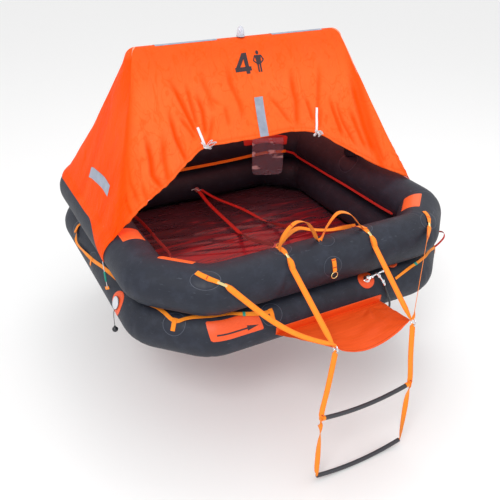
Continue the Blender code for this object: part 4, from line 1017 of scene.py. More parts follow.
def stitch_bar(name, place, ahead, across, width, thick, body="raft"):
    """A bar of dark red stitching over webbing."""
    half = ahead.normalized() * 0.0022
    ribbon(name, [place - half, place + half], across.normalized(), width * 0.96, thick, red_thread, "red_webbing",
           body=body)


def knots_round(table, part):
    """The values before and after a part of the way in a table of (part, value), and the share between them."""
    for (start, low), (end, high) in zip(table, table[1:]):
        if part <= end:
            return low, high, (part - start) / (end - start)


outer_tabs = {"left": ((-0.597, 71, 0.0022), (-0.575, 63.5, 0.0028), (-0.552, 55, 0.0034), (-0.53, 45.5, 0.0052)),
              "right": ((0.596, 78, 0.0022), (0.58, 66.5, 0.0026), (0.563, 57, 0.0034), (0.549, 49.5, 0.0052))}
outer_starts = {"left": (-0.517, 41, 0.005), "right": (0.546, 46, 0.0052)}
outer_sag, inner_along = {"left": 0.055, "right": 0}, {"left": -0.208, "right": 0.23}
outer_steps, hanging_steps, clip_angle = 40, 30, 66
outer_twists = {
    "left": ((0.08, (0.7, 0.35, 0.5)), (0.5, (0.45, 0.6, 0.4)), (0.9, (0.15, 0.9, 0.1)), (1, (0, 0.985, -0.14))),
    "right": ((0.08, (-0.78, -0.2, 0.4)), (0.2, (-0.64, -0.59, 0.49)), (0.94, (-0.64, -0.59, 0.49)),
              (1, (0, -0.985, 0.14)))}
for hand, side in hands:
    tab = [tuple(spot) for spot in smooth_route(outer_tabs[hand], 5)]
    places, across = [on_tube(upper_z, *spot) for spot in tab], width_on_tube(upper_z, tab)
    webbing(f"strap_tab_outer_{hand}", places, across, 0.024, 0.0022, f"strap_outer_{hand}",
            widths=[0.024 - 0.011 * max(0, i - 9) / 6 for i in range(len(places))])
    webbing(f"strap_tab_fold_{hand}", [place + z_way * 0.0018 for place in places[7:]], across[7:], 0.019, 0.0018)
    stitch_bar(f"strap_tab_stitch_{hand}", places[8] + z_way * 0.0022, places[9] - places[7], across[8], 0.019,
               0.0026)
    tube_disc(f"strap_patch_outer_{hand}", upper_z, side * 0.566, 55, 0.043, 0.0006)
    start, end = on_tube(upper_z, *outer_starts[hand]), ring_spot(side, 82, 0.001)
    flat = across[-1] * -side
    twists = [(0, flat)] + [(part, Vector(direction)) for part, direction in outer_twists[hand]]
    line, widths, wide = [], [], []
    for part in (step / outer_steps for step in range(outer_steps + 1)):
        low, high, share = knots_round(twists, part)
        line.append(start.lerp(end, part) - z_way * (outer_sag[hand] * sin(pi * part ** 1.15)))
        widths.append(low.lerp(high, share).normalized())
        wide.append(0.027 * (1 - 0.5 * max(0, part - 0.93) / 0.07) * (0.45 + 0.55 * min(1, part / 0.05)))
    webbing(f"strap_webbing_outer_{hand}", line, widths, 0.027, 0.0021, f"strap_outer_{hand}", widths=wide)
    double = [place + (line[1] - line[0]).cross(widths[i + 1]).normalized() * -0.0024
              for i, place in enumerate(line[1:7])]
    webbing(f"strap_double_outer_{hand}", double, widths[1:7], 0.0265, 0.0018, widths=wide[1:7])
    stitch_bar(f"strap_stitch_outer_{hand}", double[-1], line[2] - line[1], widths[6], 0.027, 0.003)
    ribbon(f"strap_clip_outer_{hand}", [places[-2].lerp(line[1], step / 4) for step in range(5)], flat, 0.0125,
           0.005, brass, "steel")
    ramp_ring(f"ring_wrap_outer_{hand}", side, 0.0042, orange_web, slot="webbing", turns=(152, 190))

    along, angles = inner_along[hand], list(range(112, 34, -2))
    flat_line = [on_tube(upper_z, along, angle, 0.002) for angle in angles]
    clip = angles.index(clip_angle)
    webbing(f"strap_tab_inner_{hand}", flat_line[:clip - 1], x_way, 0.026, 0.002, f"strap_inner_{hand}",
            widths=[0.026 - 0.012 * max(0, i - clip + 8) / 8 for i in range(clip - 1)])
    end = ring_spot(side, 14, 0.0009)
    line = flat_line[clip + 1:]
    line += [flat_line[-1].lerp(end, step / hanging_steps) for step in range(1, hanging_steps + 1)]
    wide = [min(0.029, 0.012 + 0.002 * i) for i in range(len(line))]
    wide[-5:] = [0.027, 0.024, 0.0205, 0.0165, 0.013]
    webbing(f"strap_webbing_inner_{hand}", line, x_way, 0.029, 0.002, f"strap_inner_{hand}", widths=wide)
    loose = [on_tube(upper_z, along, angle, 0.0042 + 0.0045 * sin(pi * (62 - angle) / 30))
             for angle in range(62, 31, -2)]
    webbing(f"strap_double_inner_{hand}", loose, x_way, 0.027, 0.0018,
            widths=[min(0.027, 0.014 + 0.0024 * i) for i in range(len(loose))])
    stitch_bar(f"strap_stitch_inner_{hand}", loose[-1], loose[-1] - loose[-2], x_way, 0.029, 0.003)
    ribbon(f"strap_clip_inner_{hand}", [place + Vector((0, -0.0008, 0.0012)) for place in flat_line[clip - 3:clip + 4]],
           x_way, 0.013, 0.005, brass, "steel")
    ramp_ring(f"ring_wrap_inner_{hand}", side, 0.0044, orange_web, slot="webbing", turns=(84, 124))
    tube_disc(f"strap_patch_inner_{hand}", upper_z, along, 98, 0.048)


# Entrance handle: two loops of one webbing that stand on the front tube between the two inner straps.
# It rises from the patch under its middle, and like patches hold the arch's two feet.
handle_places = ((-0.2235, 0.0012), (-0.214, 0.05), (-0.184, 0.094), (-0.139, 0.121), (-0.087, 0.104),
                 (-0.05, 0.052), (-0.032, 0.012), (-0.021, 0.0022), (-0.009, 0.0022), (0.002, 0.02),
                 (0.022, 0.064), (0.074, 0.116), (0.141, 0.096), (0.195, 0.036), (0.222, 0.0074), (0.24, 0.005))
tube_top = upper_z + tube_radius
line = smooth_route([(x, -axis_half_y, tube_top + height) for x, height in handle_places], 7)
leans = [Vector((0.45 * sin(i * 0.115 + 0.4) * hump(i, 50, 46), 1, 0.3 * sin(i * 0.16))) for i in range(len(line))]
webbing("entrance_handle_webbing", line, leans, 0.025, 0.0021, "entrance_handle")
for number, (first, last) in enumerate(((17, 21), (66, 70))):
    stitch_bar(f"handle_stitch_{number}", line[first], line[last] - line[first], leans[first], 0.025, 0.0029)
tube_disc("handle_patch", upper_z, 0.01, 88, 0.044)
for hand, side in hands:
    tube_disc(f"arch_foot_patch_{hand}", upper_z, side * side_middle, 134, 0.064)


# Righting straps over the floor: red webbing from a knotted anchor on the back tube to the front tube's inner side.
# A slack length of the orange webbing hangs between their front ends.
red_web = woven("Red webbing", (0.52, 0.018, 0.01), (0.33, 0.01, 0.008), 0.01)
knot_cord, nodes = new_material("Knotted pink cord", (0.55, 0.16, 0.13), 0.8)
tangle = nodes.put("TexVoronoi", {"Scale": 120}, "Distance")
nodes.feed(Base_Color=nodes.mix(tangle, (0.8, 0.42, 0.38), (0.3, 0.03, 0.02)), Normal=nodes.bump(0.9, 0.003, tangle))
anchor_place = Vector((0, axis_half_y - tube_radius - 0.0003, lower_z - 0.006))
turned("floor_anchor_knot", ((0, 0), (0.015, 0), (0.0152, 0.002), (0.0125, 0.0038), (0.007, 0.0052), (0.0062, 0.012),
                             (0.011, 0.0145), (0.0142, 0.0185), (0.0146, 0.0225), (0.012, 0.0285), (0.007, 0.032),
                             (0, 0.033)), anchor_place, -y_way, knot_cord, "black_rubber", "floor_strap_anchor")
turned("floor_anchor_patch", ((0, 0.001), (0.036, 0.001), (0.0375, -0.001), (0.0375, -0.004), (0, -0.004)),
       anchor_place - y_way * 0.0004, -y_way, glossy_patch, "tube_rubber")
knot = anchor_place - y_way * 0.0212
for number, (end, bend) in enumerate((((-0.046, -0.004, 0.012), (-0.02, -0.01, 0.02)),
                                      ((0.03, -0.006, -0.01), (0.018, -0.01, 0.006)))):
    line = smooth_route([knot + Vector((0, -0.013, 0.004)), knot + Vector(bend), knot + Vector(end)], 6)
    ribbon(f"floor_anchor_end_{number}", line, (0, -0.3, 1), 0.005, 0.0016, white_tape, "tie_cord")
floor_routes = {
    "left": ((0.02, 0.48, 0.028), (0.055, 0.165, -0.014), (0.05, 0.13, -0.01), (0.028, 0.03, 0.03),
             (-0.002, -0.1, 0.08), (-0.026, -0.2, 0.127), (-0.078, -0.4, 0.227), (-0.135, -0.6, 0.331)),
    "right": ((0.09, 0.56, 0.034), (0.205, 0.4, 0), (0.262, 0.21, -0.01), (0.3, 0.09, 0.008),
              (0.317, -0.08, 0.066), (0.314, -0.22, 0.123), (0.308, -0.4, 0.204), (0.262, -0.61, 0.344))}
knot_steps, edge_on_from, edge_on_rise, flat_end, edge_on_fall = 20, 22, 14, 14, 10
for hand, side in hands:
    first = Vector(floor_routes[hand][0])
    heading = Vector((first.x - knot.x, first.y - knot.y, 0)).normalized()
    start = knot + heading * 0.015 + (Vector((0.009, 0, 0.006)) if side > 0 else Vector())
    ends = [on_tube(upper_z, inner_along[hand], angle, 0.002) for angle in (128, 117)]
    line = smooth_route([start, *floor_routes[hand], *ends], 9)
    across, widths = heading.cross(z_way), []
    for i in range(len(line)):
        edge_on = limited((i - edge_on_from) / edge_on_rise) * limited((len(line) - flat_end - i) / edge_on_fall)
        widths.append(across.lerp(Vector((-1, -0.05, 0)), min(1, i / knot_steps)).lerp(Vector((-0.35, 0.25, 0.9)),
                                                                                    edge_on))
    ribbon(f"floor_webbing_{hand}", line, widths, 0.027, 0.0018, red_web, "red_webbing", f"floor_strap_{hand}")
line = smooth_route([
    on_tube(upper_z, -0.208, 116, 0.0046), (-0.124, -0.62, 0.346), (-0.063, -0.575, 0.352), (0.044, -0.5, 0.328),
    (0.109, -0.52, 0.315), (0.179, -0.56, 0.315), (0.218, -0.61, 0.34), on_tube(upper_z, 0.226, 122, 0.0046)], 9)
leaning, upright_at = Vector((0.3, 0.4, 0.85)), 45
leans = [leaning.lerp(Vector((0.1, 0.98, 0.1)), min(1, i / upright_at)) for i in range(len(line))]
webbing("handle_slack_webbing", line, leans, 0.021, 0.0018)


# Grab line outside: orange webbing round the lower tube, slack between the places where a short upright tab, glued
# over it on a round patch, holds it. Teal sleeves mark two of its joins.
teal_cloth = new_material("Teal sleeve", (0.015, 0.3, 0.22), 0.6)[0]
held = 0.0018
grab_routes = {
    "front_left": ((-0.835, 76, 0.006), (-0.79, 73, 0.007), (-0.742, 63, 0.008), (-0.686, 50, held),
                   (-0.634, 60, 0.008), (-0.575, 70, 0.009), (-0.499, 70, 0.009), (-0.426, 58, 0.009),
                   (-0.355, 49, 0.008), (-0.3, 47, held)),
    "front_right": ((0.383, 35, held), (0.45, 46, 0.009), (0.52, 55, 0.01), (0.569, 56, 0.01),
                    (0.65, 47, 0.011), (0.72, 34, 0.01), (0.785, 21, held)),
    "left": ((-side_middle - 0.33, 47, held), (-side_middle - 0.285, 27, 0.009), (-side_middle - 0.245, 13, 0.009),
             (-side_middle - 0.12, 20, 0.01), (-side_middle, 27, held), (-side_middle + 0.137, 43, 0.008),
             (-side_middle + 0.25, 53, 0.006), (-side_middle + 0.31, 58, 0.004)),
    "right": ((side_middle - 0.3, 20, held), (side_middle - 0.2, 12, 0.01), (side_middle - 0.11, 12, 0.01),
              (side_middle, 22, held), (side_middle + 0.12, 14, 0.01), (side_middle + 0.24, 14, 0.01),
              (side_middle + 0.33, 22, held)),
    "back": ((-half_loop + 0.48, 22, held), (-half_loop + 0.36, 13, 0.01), (-half_loop + 0.12, 13, 0.01),
             (-half_loop + 0.001, 22, held), (half_loop - 0.12, 13, 0.01), (half_loop - 0.36, 13, 0.01),
             (half_loop - 0.48, 22, held)),
}
sleeves = {"front_left": -0.425, "front_right": 0.514}
under_ramp = grab_routes["front_right"][0]


def up_the_side(axis_z, along, angle):
    return (on_tube(axis_z, along, angle + 4) - on_tube(axis_z, along, angle - 4)).normalized()


def smooth_places(route, steps, axis_z, past_back=False):
    """Places and widths' directions of webbing that runs along a tube, where asked past the middle of the back."""
    unrolled = [(along + (2 * half_loop if past_back and along < 0 else 0), angle, lift * 1000)
                for along, angle, lift in route]
    spots = []
    for spot in smooth_route(unrolled, steps):
        along = spot.x - 2 * half_loop if spot.x > half_loop else spot.x
        spots.append((along, spot.y, max(0.0016, spot.z / 1000)))
    return [on_tube(axis_z, *spot) for spot in spots], [up_the_side(axis_z, *spot[:2]) for spot in spots]


for part_name, route in grab_routes.items():
    name = f"grab_line_{part_name}"
    places, widths = smooth_places(route, 12, lower_z, part_name == "back")
    widths = [width + (place - z_way * lower_z).normalized() * (0.3 * sin(i * 0.23))
              for i, (place, width) in enumerate(zip(places, widths))]
    wide = 0.014 if part_name == "front_right" else 0.018
    webbing(f"{name}_webbing", places, widths, wide, 0.0018, name)
    if part_name in sleeves:
        join = on_tube(lower_z, sleeves[part_name], 56, 0.009)
        nearest = min(range(len(places)), key=lambda i: (places[i] - join).length)
        hand, part = part_name.removeprefix("front_"), slice(nearest - 1, nearest + 2)
        ribbon(f"grab_sleeve_{hand}", places[part], widths[part], wide + 0.0025, 0.0052, teal_cloth, "tie_cord")
    for number, spot in enumerate(route):
        along, angle, lift = spot
        if lift == held and spot != under_ramp:
            tall = 14 if angle < 40 else 18
            drop = [on_tube(lower_z, along, angle + tall * (0.35 - 1.6 * step / 12), 0.0046 if 1 < step < 7 else 0.003)
                    for step in range(13)]
            webbing(f"{name}_tab_{number}", drop, station(along)[1].cross(z_way), 0.021, 0.0018)
            tube_disc(f"{name}_patch_{number}", lower_z, along, angle - 7, 0.05, 0.0006)
places, widths = smooth_places(((0.785, 22, 0.0036), (0.796, 26, 0.034), (0.806, 31, 0.064), (0.818, 35, 0.068),
                                (0.828, 38, 0.044), (0.834, 41, 0.0036)), 8, lower_z)
ribbon("grab_line_slack_loop", places, widths, 0.011, 0.0018, red_web, "red_webbing")


# Grab line inside: webbing on the upper tube's underside, slack along the left side, orange over the back's left
# half and red elsewhere.
left_run = [(-(side_middle - 0.43), 216, held), (-(side_middle - 0.385), 204, 0.06),
            (-(side_middle - 0.335), 194, 0.096), (-(side_middle - 0.15), 195, 0.098), (-side_middle, 196, 0.098),
            (-(side_middle + 0.15), 198, 0.088), (-(side_middle + 0.33), 206, 0.055),
            (-(side_middle + 0.48), 220, 0.012)]
back_corner = side_middle + side_half
left_back = [(-(back_corner + (half_loop - back_corner) * i / 6), 222, 0.012) for i in range(1, 6)]
at_bag = (half_loop - 0.732, 195, 0.012)
back_run = [left_run[-1], *left_back, (half_loop, 222, 0.012), (half_loop - 0.22, 220, 0.012),
            (half_loop - 0.402, 215, 0.011), (half_loop - 0.602, 210, 0.011), at_bag]
right_run = [at_bag, (half_loop - 0.832, 204, 0.013), (half_loop - 0.922, 212, 0.011), (half_loop - 1.082, 210, 0.01),
             (side_middle + 0.159, 208, 0.01), (side_middle - 0.041, 204, 0.01), (side_middle - 0.371, 202, 0.009),
             (side_middle - 0.47, 204, held)]
for name, route, finish, width in (("left", left_run, red_web, 0.019), ("back", back_run, orange_web, 0.019),
                                   ("right", right_run, red_web, 0.014)):
    places, widths = smooth_places(route, 10, upper_z, name == "back")
    if name != "left":
        widths = [z_way * 0.95 + Vector((place.x, place.y, 0)).normalized() * 0.28 for place in places]
    ribbon(f"inside_line_{name}", places, widths, width, 0.0018, finish, "red_webbing", "inside_line")


# Towing eye: a webbing tab glued on a glossy round patch in the middle of the front, with a steel ring under it.
# The tab bulges a little over the sewn loop that the ring hangs in.
tube_disc("tow_patch", upper_z, -0.007, 14, 0.046)
tab = [on_tube(upper_z, 0, angle, 0.0034 + 0.0022 * hump(angle, 3, 5)) for angle in range(32, 0, -2)]
webbing("tow_tab_webbing", tab, x_way, 0.022, 0.002, "tow_tab")
for number, angle in enumerate((29, 12)):
    place = on_tube(upper_z, 0, angle, 0.0042)
    stitch_bar(f"tow_stitch_{number}", place, on_tube(upper_z, 0, angle - 3, 0.0042) - place, x_way, 0.021, 0.0016)
tow_hinge = Vector((0, -axis_half_y - tube_radius - 0.0035, upper_z + tube_radius * sin(radians(2)) - 0.0028))
wire_loop("tow_ring_wire", tow_hinge - z_way * 0.016, y_way, 0.016, 0.0025, brass, stands_for="tow_ring",
          body="tow_ring")


# Labels glued on the tubes, which stay blank inside a thin printed border, and the sign beside the ramp, which
# carries only an arrow toward it.
label_film, nodes = new_material("Orange label", (0.9, 0.13, 0.022), 0.45, Specular_IOR_Level=0.4)
parts = nodes.put("SeparateXYZ", {0: nodes.put("UVMap")}, None)
far = nodes.math("MAXIMUM", nodes.math("ABSOLUTE", parts[0]), nodes.math("ABSOLUTE", parts[1]))
border = nodes.math("MULTIPLY", nodes.math("GREATER_THAN", far, 0.865), nodes.math("LESS_THAN", far, 0.895))
smudged = nodes.mix(nodes.noise(21, 6), (0.8, 0.095, 0.014), (0.97, 0.17, 0.034))
nodes.feed(Base_Color=nodes.mix(nodes.math("MULTIPLY", border, 0.7), smudged, (0.6, 0.03, 0.008)))
orange_rubber, nodes = new_material("Orange coated patch", (0.88, 0.095, 0.016), 0.45, Specular_IOR_Level=0.4)
nodes.feed(Base_Color=nodes.mix(nodes.noise(26, 5), (0.75, 0.06, 0.009), (0.95, 0.13, 0.026)))


def tube_label(name, axis_z, along, angles, round_share, stands_for, lift=0.0004, thick=0.0014, finish=label_film,
               cells=(16, 26), slant=0):
    """A patch with rounded corners that follows a tube, its rim turned down to the skin. Slant leans its ends."""
    rows = []
    for r in range(cells[0] + 1):
        v = 2 * r / cells[0] - 1
        over = max(0, (abs(v) - (1 - round_share)) / round_share)
        half = 1 - round_share * 0.55 * (1 - sqrt(max(0, 1 - over ** 2)))
        rows.append([])
        for c in range(cells[1] + 1):
            u = (2 * c / cells[1] - 1) * half
            rim = r in (0, cells[0]) or c in (0, cells[1])
            rows[-1].append(on_tube(axis_z, (along[0] + along[1]) / 2 + u * (along[1] - along[0]) / 2 - slant * v,
                                    (angles[0] + angles[1]) / 2 + v * (angles[1] - angles[0]) / 2,
                                    lift if rim else lift + thick))
    mesh = grid_mesh(name, rows, sharp=60, uv=lambda r, c: (2 * c / cells[1] - 1, 2 * r / cells[0] - 1))
    show(mesh, finish, "orange_patch", stands_for)


for name, along, angles in (("label_left", (-1.132, -1.018), (72, 130)),
                            ("label_front_left", (-0.794, -0.63), (98, 142)),
                            ("label_front_right", (0.64, 0.802), (91, 142))):
    tube_label(f"{name}_patch", upper_z, along, angles, 0.1, name)
tube_label("boarding_sign_patch", lower_z, (-0.562, -0.358), (13, 60), 0.08, "boarding_sign", finish=orange_rubber,
           slant=0.008)
arrow = [block(-0.54, 25, -0.424, 28.6, 2, 20),
         four_sided(((-0.428, 20.8), (-0.372, 26.8), (-0.372, 26.8), (-0.428, 32.8)), 6, 8)]
mark("sign_arrow", arrow, lambda spot: on_tube(lower_z, *spot, 0.0024), ink)


# Topping-up valve on the left: a grey valve face on an orange drop-shaped patch, its plug hanging from it.
# A thin dark collar lies round the face.
grey_moulding, nodes = new_material("Pale grey moulding", (0.62, 0.63, 0.66), 0.38, Specular_IOR_Level=0.5)
nodes.feed(Base_Color=nodes.mix(nodes.noise(120, 4), (0.5, 0.51, 0.56), (0.76, 0.77, 0.8)))
valve_along, drop_angle = -(side_middle - 0.42), 1.5 * pi
tube_disc("valve_patch_drop", lower_z, valve_along, 24, 0.055, 0.0014, orange_rubber, "orange_patch", "valve_patch",
          lambda turn: 1 + 0.3 * hump(turn, drop_angle, 0.38))
seat = on_tube(lower_z, valve_along, 22.5, 0.0024)
turned("valve_face", ((0, -0.001), (0.0285, -0.001), (0.03, 0.001), (0.03, 0.0055), (0.0285, 0.0072),
                      (0.025, 0.0078), (0.024, 0.007), (0.023, 0.0052), (0.012, 0.0052), (0.0112, 0.0066),
                      (0.006, 0.007), (0, 0.007)), seat, valve_axis, grey_moulding, "grey_plastic", "valve_disc", 48)
wire_loop("valve_collar", seat + valve_axis * 0.0018, valve_axis, 0.0308, 0.001, glossy_patch, "grey_plastic")


# Gas inlet at the front: a chrome elbow and tee on a round orange patch, and under the floor the bottle that the
# hose leads to, held in two black bands.
chrome = new_material("Bright chrome", (0.86, 0.86, 0.89), 0.1, Metallic=1)[0]
tube_disc("gas_inlet_patch", lower_z, 0.225, 54, 0.043, 0.0014, orange_rubber, "orange_patch", "gas_patch")
tube_disc("relief_valve_patch", lower_z, 0.405, 82, 0.034, 0.0012, orange_rubber, "orange_patch")
inlet_seat = on_tube(lower_z, 0.225, 54, 0.002)
inlet_axis = Vector((0, -cos(radians(54)), sin(radians(54))))
turned("gas_inlet_body", ((0, 0), (0.0165, 0), (0.017, 0.001), (0.017, 0.0035), (0.015, 0.0048), (0.0098, 0.0058),
                          (0.0094, 0.016), (0.0125, 0.0175), (0.013, 0.019), (0.013, 0.025), (0.0118, 0.0265),
                          (0, 0.027)), inlet_seat, inlet_axis, chrome, "steel", "gas_inlet")
hose_top, hose_fall = hose_route[0], (hose_route[1] - hose_route[0]).normalized()
pipe_start, stem_foot = inlet_seat + inlet_axis * 0.021 + x_way * 0.011, hose_top - hose_fall * 0.0006
pipe_end = Vector((0.306, pipe_start.y - 0.001, 0.203))
tee = pipe_start.lerp(pipe_end, 0.55)
stem = smooth_route([tee, tee.lerp(stem_foot, 0.45) + Vector((0, -0.002, 0)), stem_foot], 5)
for name, line in (("pipe", [pipe_start.lerp(pipe_end, step / 8) for step in range(9)]), ("stem", stem)):
    rows = tube_rows(line, lambda i: 0.0052, 20, up=Vector((0, 1, 0.2)))
    show(capped(f"gas_fitting_{name}", rows), chrome, "steel", "gas_fitting")
pipe_way, stem_way = (pipe_end - pipe_start).normalized(), (stem_foot - tee).normalized()
nut_profile = ((0, 0), (0.0078, 0), (0.009, 0.001), (0.009, 0.0105), (0.0078, 0.0115), (0, 0.0115))
for number, (place, way) in enumerate(((pipe_start + pipe_way * 0.004, pipe_way), (tee - pipe_way * 0.006, pipe_way),
                                       (tee + stem_way * 0.01, stem_way), (stem_foot - stem_way * 0.013, stem_way))):
    turned(f"gas_fitting_nut_{number}", nut_profile, place, way, chrome, "steel", steps=6)
turned("gas_fitting_stub", ((0, 0), (0.006, 0), (0.006, 0.012), (0.0082, 0.013), (0.0082, 0.021), (0.007, 0.022),
                            (0, 0.022)), pipe_end - pipe_way * 0.018, pipe_way, chrome, "steel")
turned("gas_hose_crimp", ((0, 0), (0.0068, 0), (0.0072, 0.001), (0.0072, 0.013), (0.0066, 0.014), (0, 0.014)),
       hose_top, hose_fall, chrome, "steel")

painted, nodes = new_material("Grey bottle paint", (0.33, 0.34, 0.36), 0.32, Metallic=0.2, Coat_Weight=0.3)
nodes.feed(Base_Color=nodes.group(rub_group, Base=(0.33, 0.34, 0.36, 1), Dust=(0.14, 0.14, 0.15, 1), Amount=0.5,
                                  Scale=14)["Color"])
bottle_y = -0.515
bottle_place = Vector((-0.125, bottle_y, bottle_z))
turned("gas_bottle_body", ((0, 0.004), (0.014, 0.002), (0.024, 0), (0.034, 0.006), (0.042, 0.015), (0.0475, 0.027),
                           (0.05, 0.042), (0.05, 0.288), (0.0485, 0.3), (0.0445, 0.314), (0.037, 0.328),
                           (0.027, 0.338), (0.0185, 0.343), (0, 0.3435)),
       bottle_place, x_way, painted, "bottle_paint", "gas_bottle", 48)
turned("gas_bottle_head", ((0, 0.34), (0.0155, 0.34), (0.016, 0.346), (0.0125, 0.349), (0.0125, 0.372),
                           (0.017, 0.375), (0.0205, 0.378), (0.0228, 0.383), (0.0228, 0.413), (0.0205, 0.419),
                           (0, 0.42)), bottle_place, x_way, brass, "bottle_paint", "gas_bottle")
for number, x in enumerate((-0.04, 0.11)):
    turned(f"gas_bottle_band_{number}", (
        (0, x - 0.0125), (0.0509, x - 0.0125), (0.0515, x - 0.0115), (0.0515, x + 0.0115), (0.0509, x + 0.0125),
        (0, x + 0.0125)), (0, bottle_y, bottle_z), x_way, smooth_rubber, "bottle_paint", steps=48)


# Water pockets: four open-topped bags of thin black cloth under the floor, full of folds, with a slot high in each
# wall and a seam round the foot.
pocket_fabric, nodes = new_material("Black pocket cloth", (0.024, 0.025, 0.03), 0.55, Specular_IOR_Level=0.35)
nodes.feed(Normal=nodes.bump(0.5, 0.004, nodes.noise(30, 6, nodes.place(), Distortion=0.6)))
pocket_top, pocket_depth, pocket_half = floor_base - 0.0007, 0.155, 0.125
wall_rows, base_rows, pocket_sides = 18, 8, 72
for y_name, y_hand in (("front", -1), ("back", 1)):
    for x_name, x_hand in hands:
        middle = Vector((x_hand * 0.44, y_hand * 0.38, pocket_top))
        rows = []
        for r in range(wall_rows + base_rows + 1):
            part, inward = min(1, r / wall_rows), max(0, (r - wall_rows) / base_rows)
            drop = part * pocket_depth * 0.985 + 0.006 * sin(pi * inward) * (1 - inward)
            rows.append([])
            for turn in (2 * pi * (c + 0.5) / pocket_sides for c in range(pocket_sides)):
                square = 1 / max(abs(cos(turn)), abs(sin(turn)))
                soft = min(square, 1 + 0.36 * (1 - 0.3 * part))
                bulge = 0.01 * sin(pi * part) * (1 if abs(square - 1) < 0.4 else 0.4)
                fold = 0.0045 * part * noise.noise(Vector((cos(turn) * 3.1, sin(turn) * 3.1,
                                                           part * 1.5 + x_hand + 3 * y_hand)))
                size = pocket_half * (1 - 0.16 * part) * soft * 0.985 + (bulge - 0.009) * part + fold
                size *= 1 - inward
                rows[-1].append(middle + Vector((size * cos(turn), size * sin(turn), -drop + 0.003 * inward)))
        name = f"water_pocket_{y_name}_{x_name}"
        mesh = grid_mesh(f"{name}_bag", rows, wrap_across=True)
        work = bmesh.new()
        work.from_mesh(mesh)
        bmesh.ops.recalc_face_normals(work, faces=work.faces)
        slots = []
        for face in work.faces:
            spot = face.calc_center_median() - middle
            near, far = sorted((abs(spot.x), abs(spot.y)))
            if 0.18 < -spot.z / pocket_depth < 0.42 and near < 0.052 and far > 0.08:
                slots.append(face)
        bmesh.ops.delete(work, geom=slots, context="FACES")
        pocket_area = sum(face.calc_area() for face in work.faces)
        work.to_mesh(mesh)
        work.free()
        bag = show(mesh, pocket_fabric, "pocket_cloth", name)
        thicken(bag, 0.0012)


# Clear bag for papers: soft clear film with rounded corners, which hangs across the back right corner from a red
# flap on the upper tube. A few bright streaks on it are painted highlights.
clear_film, nodes = new_material("Clear flexible film", (0.62, 0.56, 0.6), 0.12, Specular_IOR_Level=0.8, Alpha=0.3)
glint = nodes.noise(1.5, 1.5, nodes.stretch(nodes.put("UVMap"), (1.3, 4.6, 1), 0.9))
# Painted highlight: pale streaks that are also less clear.
painted_highlight_streaks = nodes.span(glint, 0, 1, 0.57, 0.63)
nodes.feed(Base_Color=nodes.mix(painted_highlight_streaks, (0.54, 0.48, 0.6), (0.95, 0.95, 0.97)),
           Alpha=nodes.span(painted_highlight_streaks, 0.38, 0.88), Normal=nodes.bump(0.3, 0.006, glint))
flap_cloth = new_material("Red-orange flap", (0.62, 0.03, 0.012), 0.5)[0]
bag_left, bag_right = Vector((0.402, 0.652, upper_z + 0.056)), Vector((0.5925, 0.575, upper_z + 0.056))
bag_out = (bag_right - bag_left).normalized().cross(z_way)
bag_drop, bag_rows, bag_columns = 0.257, 30, 24
rows = []
for r in range(bag_rows + 1):
    drop = bag_drop * r / bag_rows
    rounding = max(0, (drop - 0.207) / 0.05)
    lean = 0.018 * max(0, 1 - drop / 0.028) ** 1.5
    share = 1 - 0.26 * (1 - sqrt(max(0, 1 - rounding ** 2)))
    rows.append([])
    for c in range(bag_columns + 1):
        u = 2 * c / bag_columns - 1
        wave = 0.0018 * noise.noise(Vector((u * 1.8, drop * 16, 2))) * min(1, drop / 0.04)
        rows[-1].append(bag_left.lerp(bag_right, 0.5 + u * share / 2) + bag_out * (wave - lean) - z_way * drop)
mesh = grid_mesh("clear_bag_film", rows, uv=lambda r, c: (c / bag_columns, r / bag_rows))
film = show(mesh, clear_film, "clear_film", "clear_pocket")
tube_label("clear_bag_flap", upper_z, (half_loop - 0.735, half_loop - 0.345), (145, 175), 0.12, "pocket_flap",
           0.0019, 0.0016, flap_cloth, (10, 34))
ribbon("clear_bag_hem", [bag_left.lerp(bag_right, part / 20) - bag_out * 0.017 for part in range(21)], z_way, 0.016,
       0.0026, flap_cloth, "orange_patch")


# Corner ties: a pale cord from each front corner of the canopy down to the lower tube, gripped by a teal sleeve.
# A short webbing tab holds the cord's foot.
pale_cord, nodes = new_material("Pale braided cord", (0.76, 0.7, 0.7), 0.8)
braid = nodes.put("TexWave", {"Scale": 160, "Distortion": 1}, "Fac", bands_direction="DIAGONAL")
nodes.feed(Normal=nodes.bump(0.6, 0.0006, braid))
for hand, side in hands:
    along = side * (side_middle - 0.286)
    top, low = on_tube(upper_z, along, -13.5, 0.0062), on_tube(lower_z, along, 24, 0.005)
    drop = (top - low).length
    cord_profile = ((0, -0.001), (0.0018, 0), (0.002, drop * 0.3), (0.002, drop * 0.7), (0.0018, drop), (0, drop))
    turned(f"corner_cord_{hand}", cord_profile, low, top - low, pale_cord, "tie_cord", f"corner_tie_{hand}", 12)
    sleeve_profile = ((0, drop * 0.24), (0.0032, drop * 0.24), (0.0048, drop * 0.27), (0.0046, drop * 0.45),
                      (0.0048, drop * 0.6), (0.0032, drop * 0.63), (0, drop * 0.63))
    turned(f"corner_sleeve_{hand}", sleeve_profile, low, top - low, teal_cloth, "tie_cord", f"corner_tie_{hand}", 20)
    foot = [on_tube(lower_z, along + side * 0.012 * step, 24 - 4 * step, 0.003) for step in range(-1, 3)]
    webbing(f"corner_tie_tab_{hand}", foot, z_way, 0.016, 0.0018)


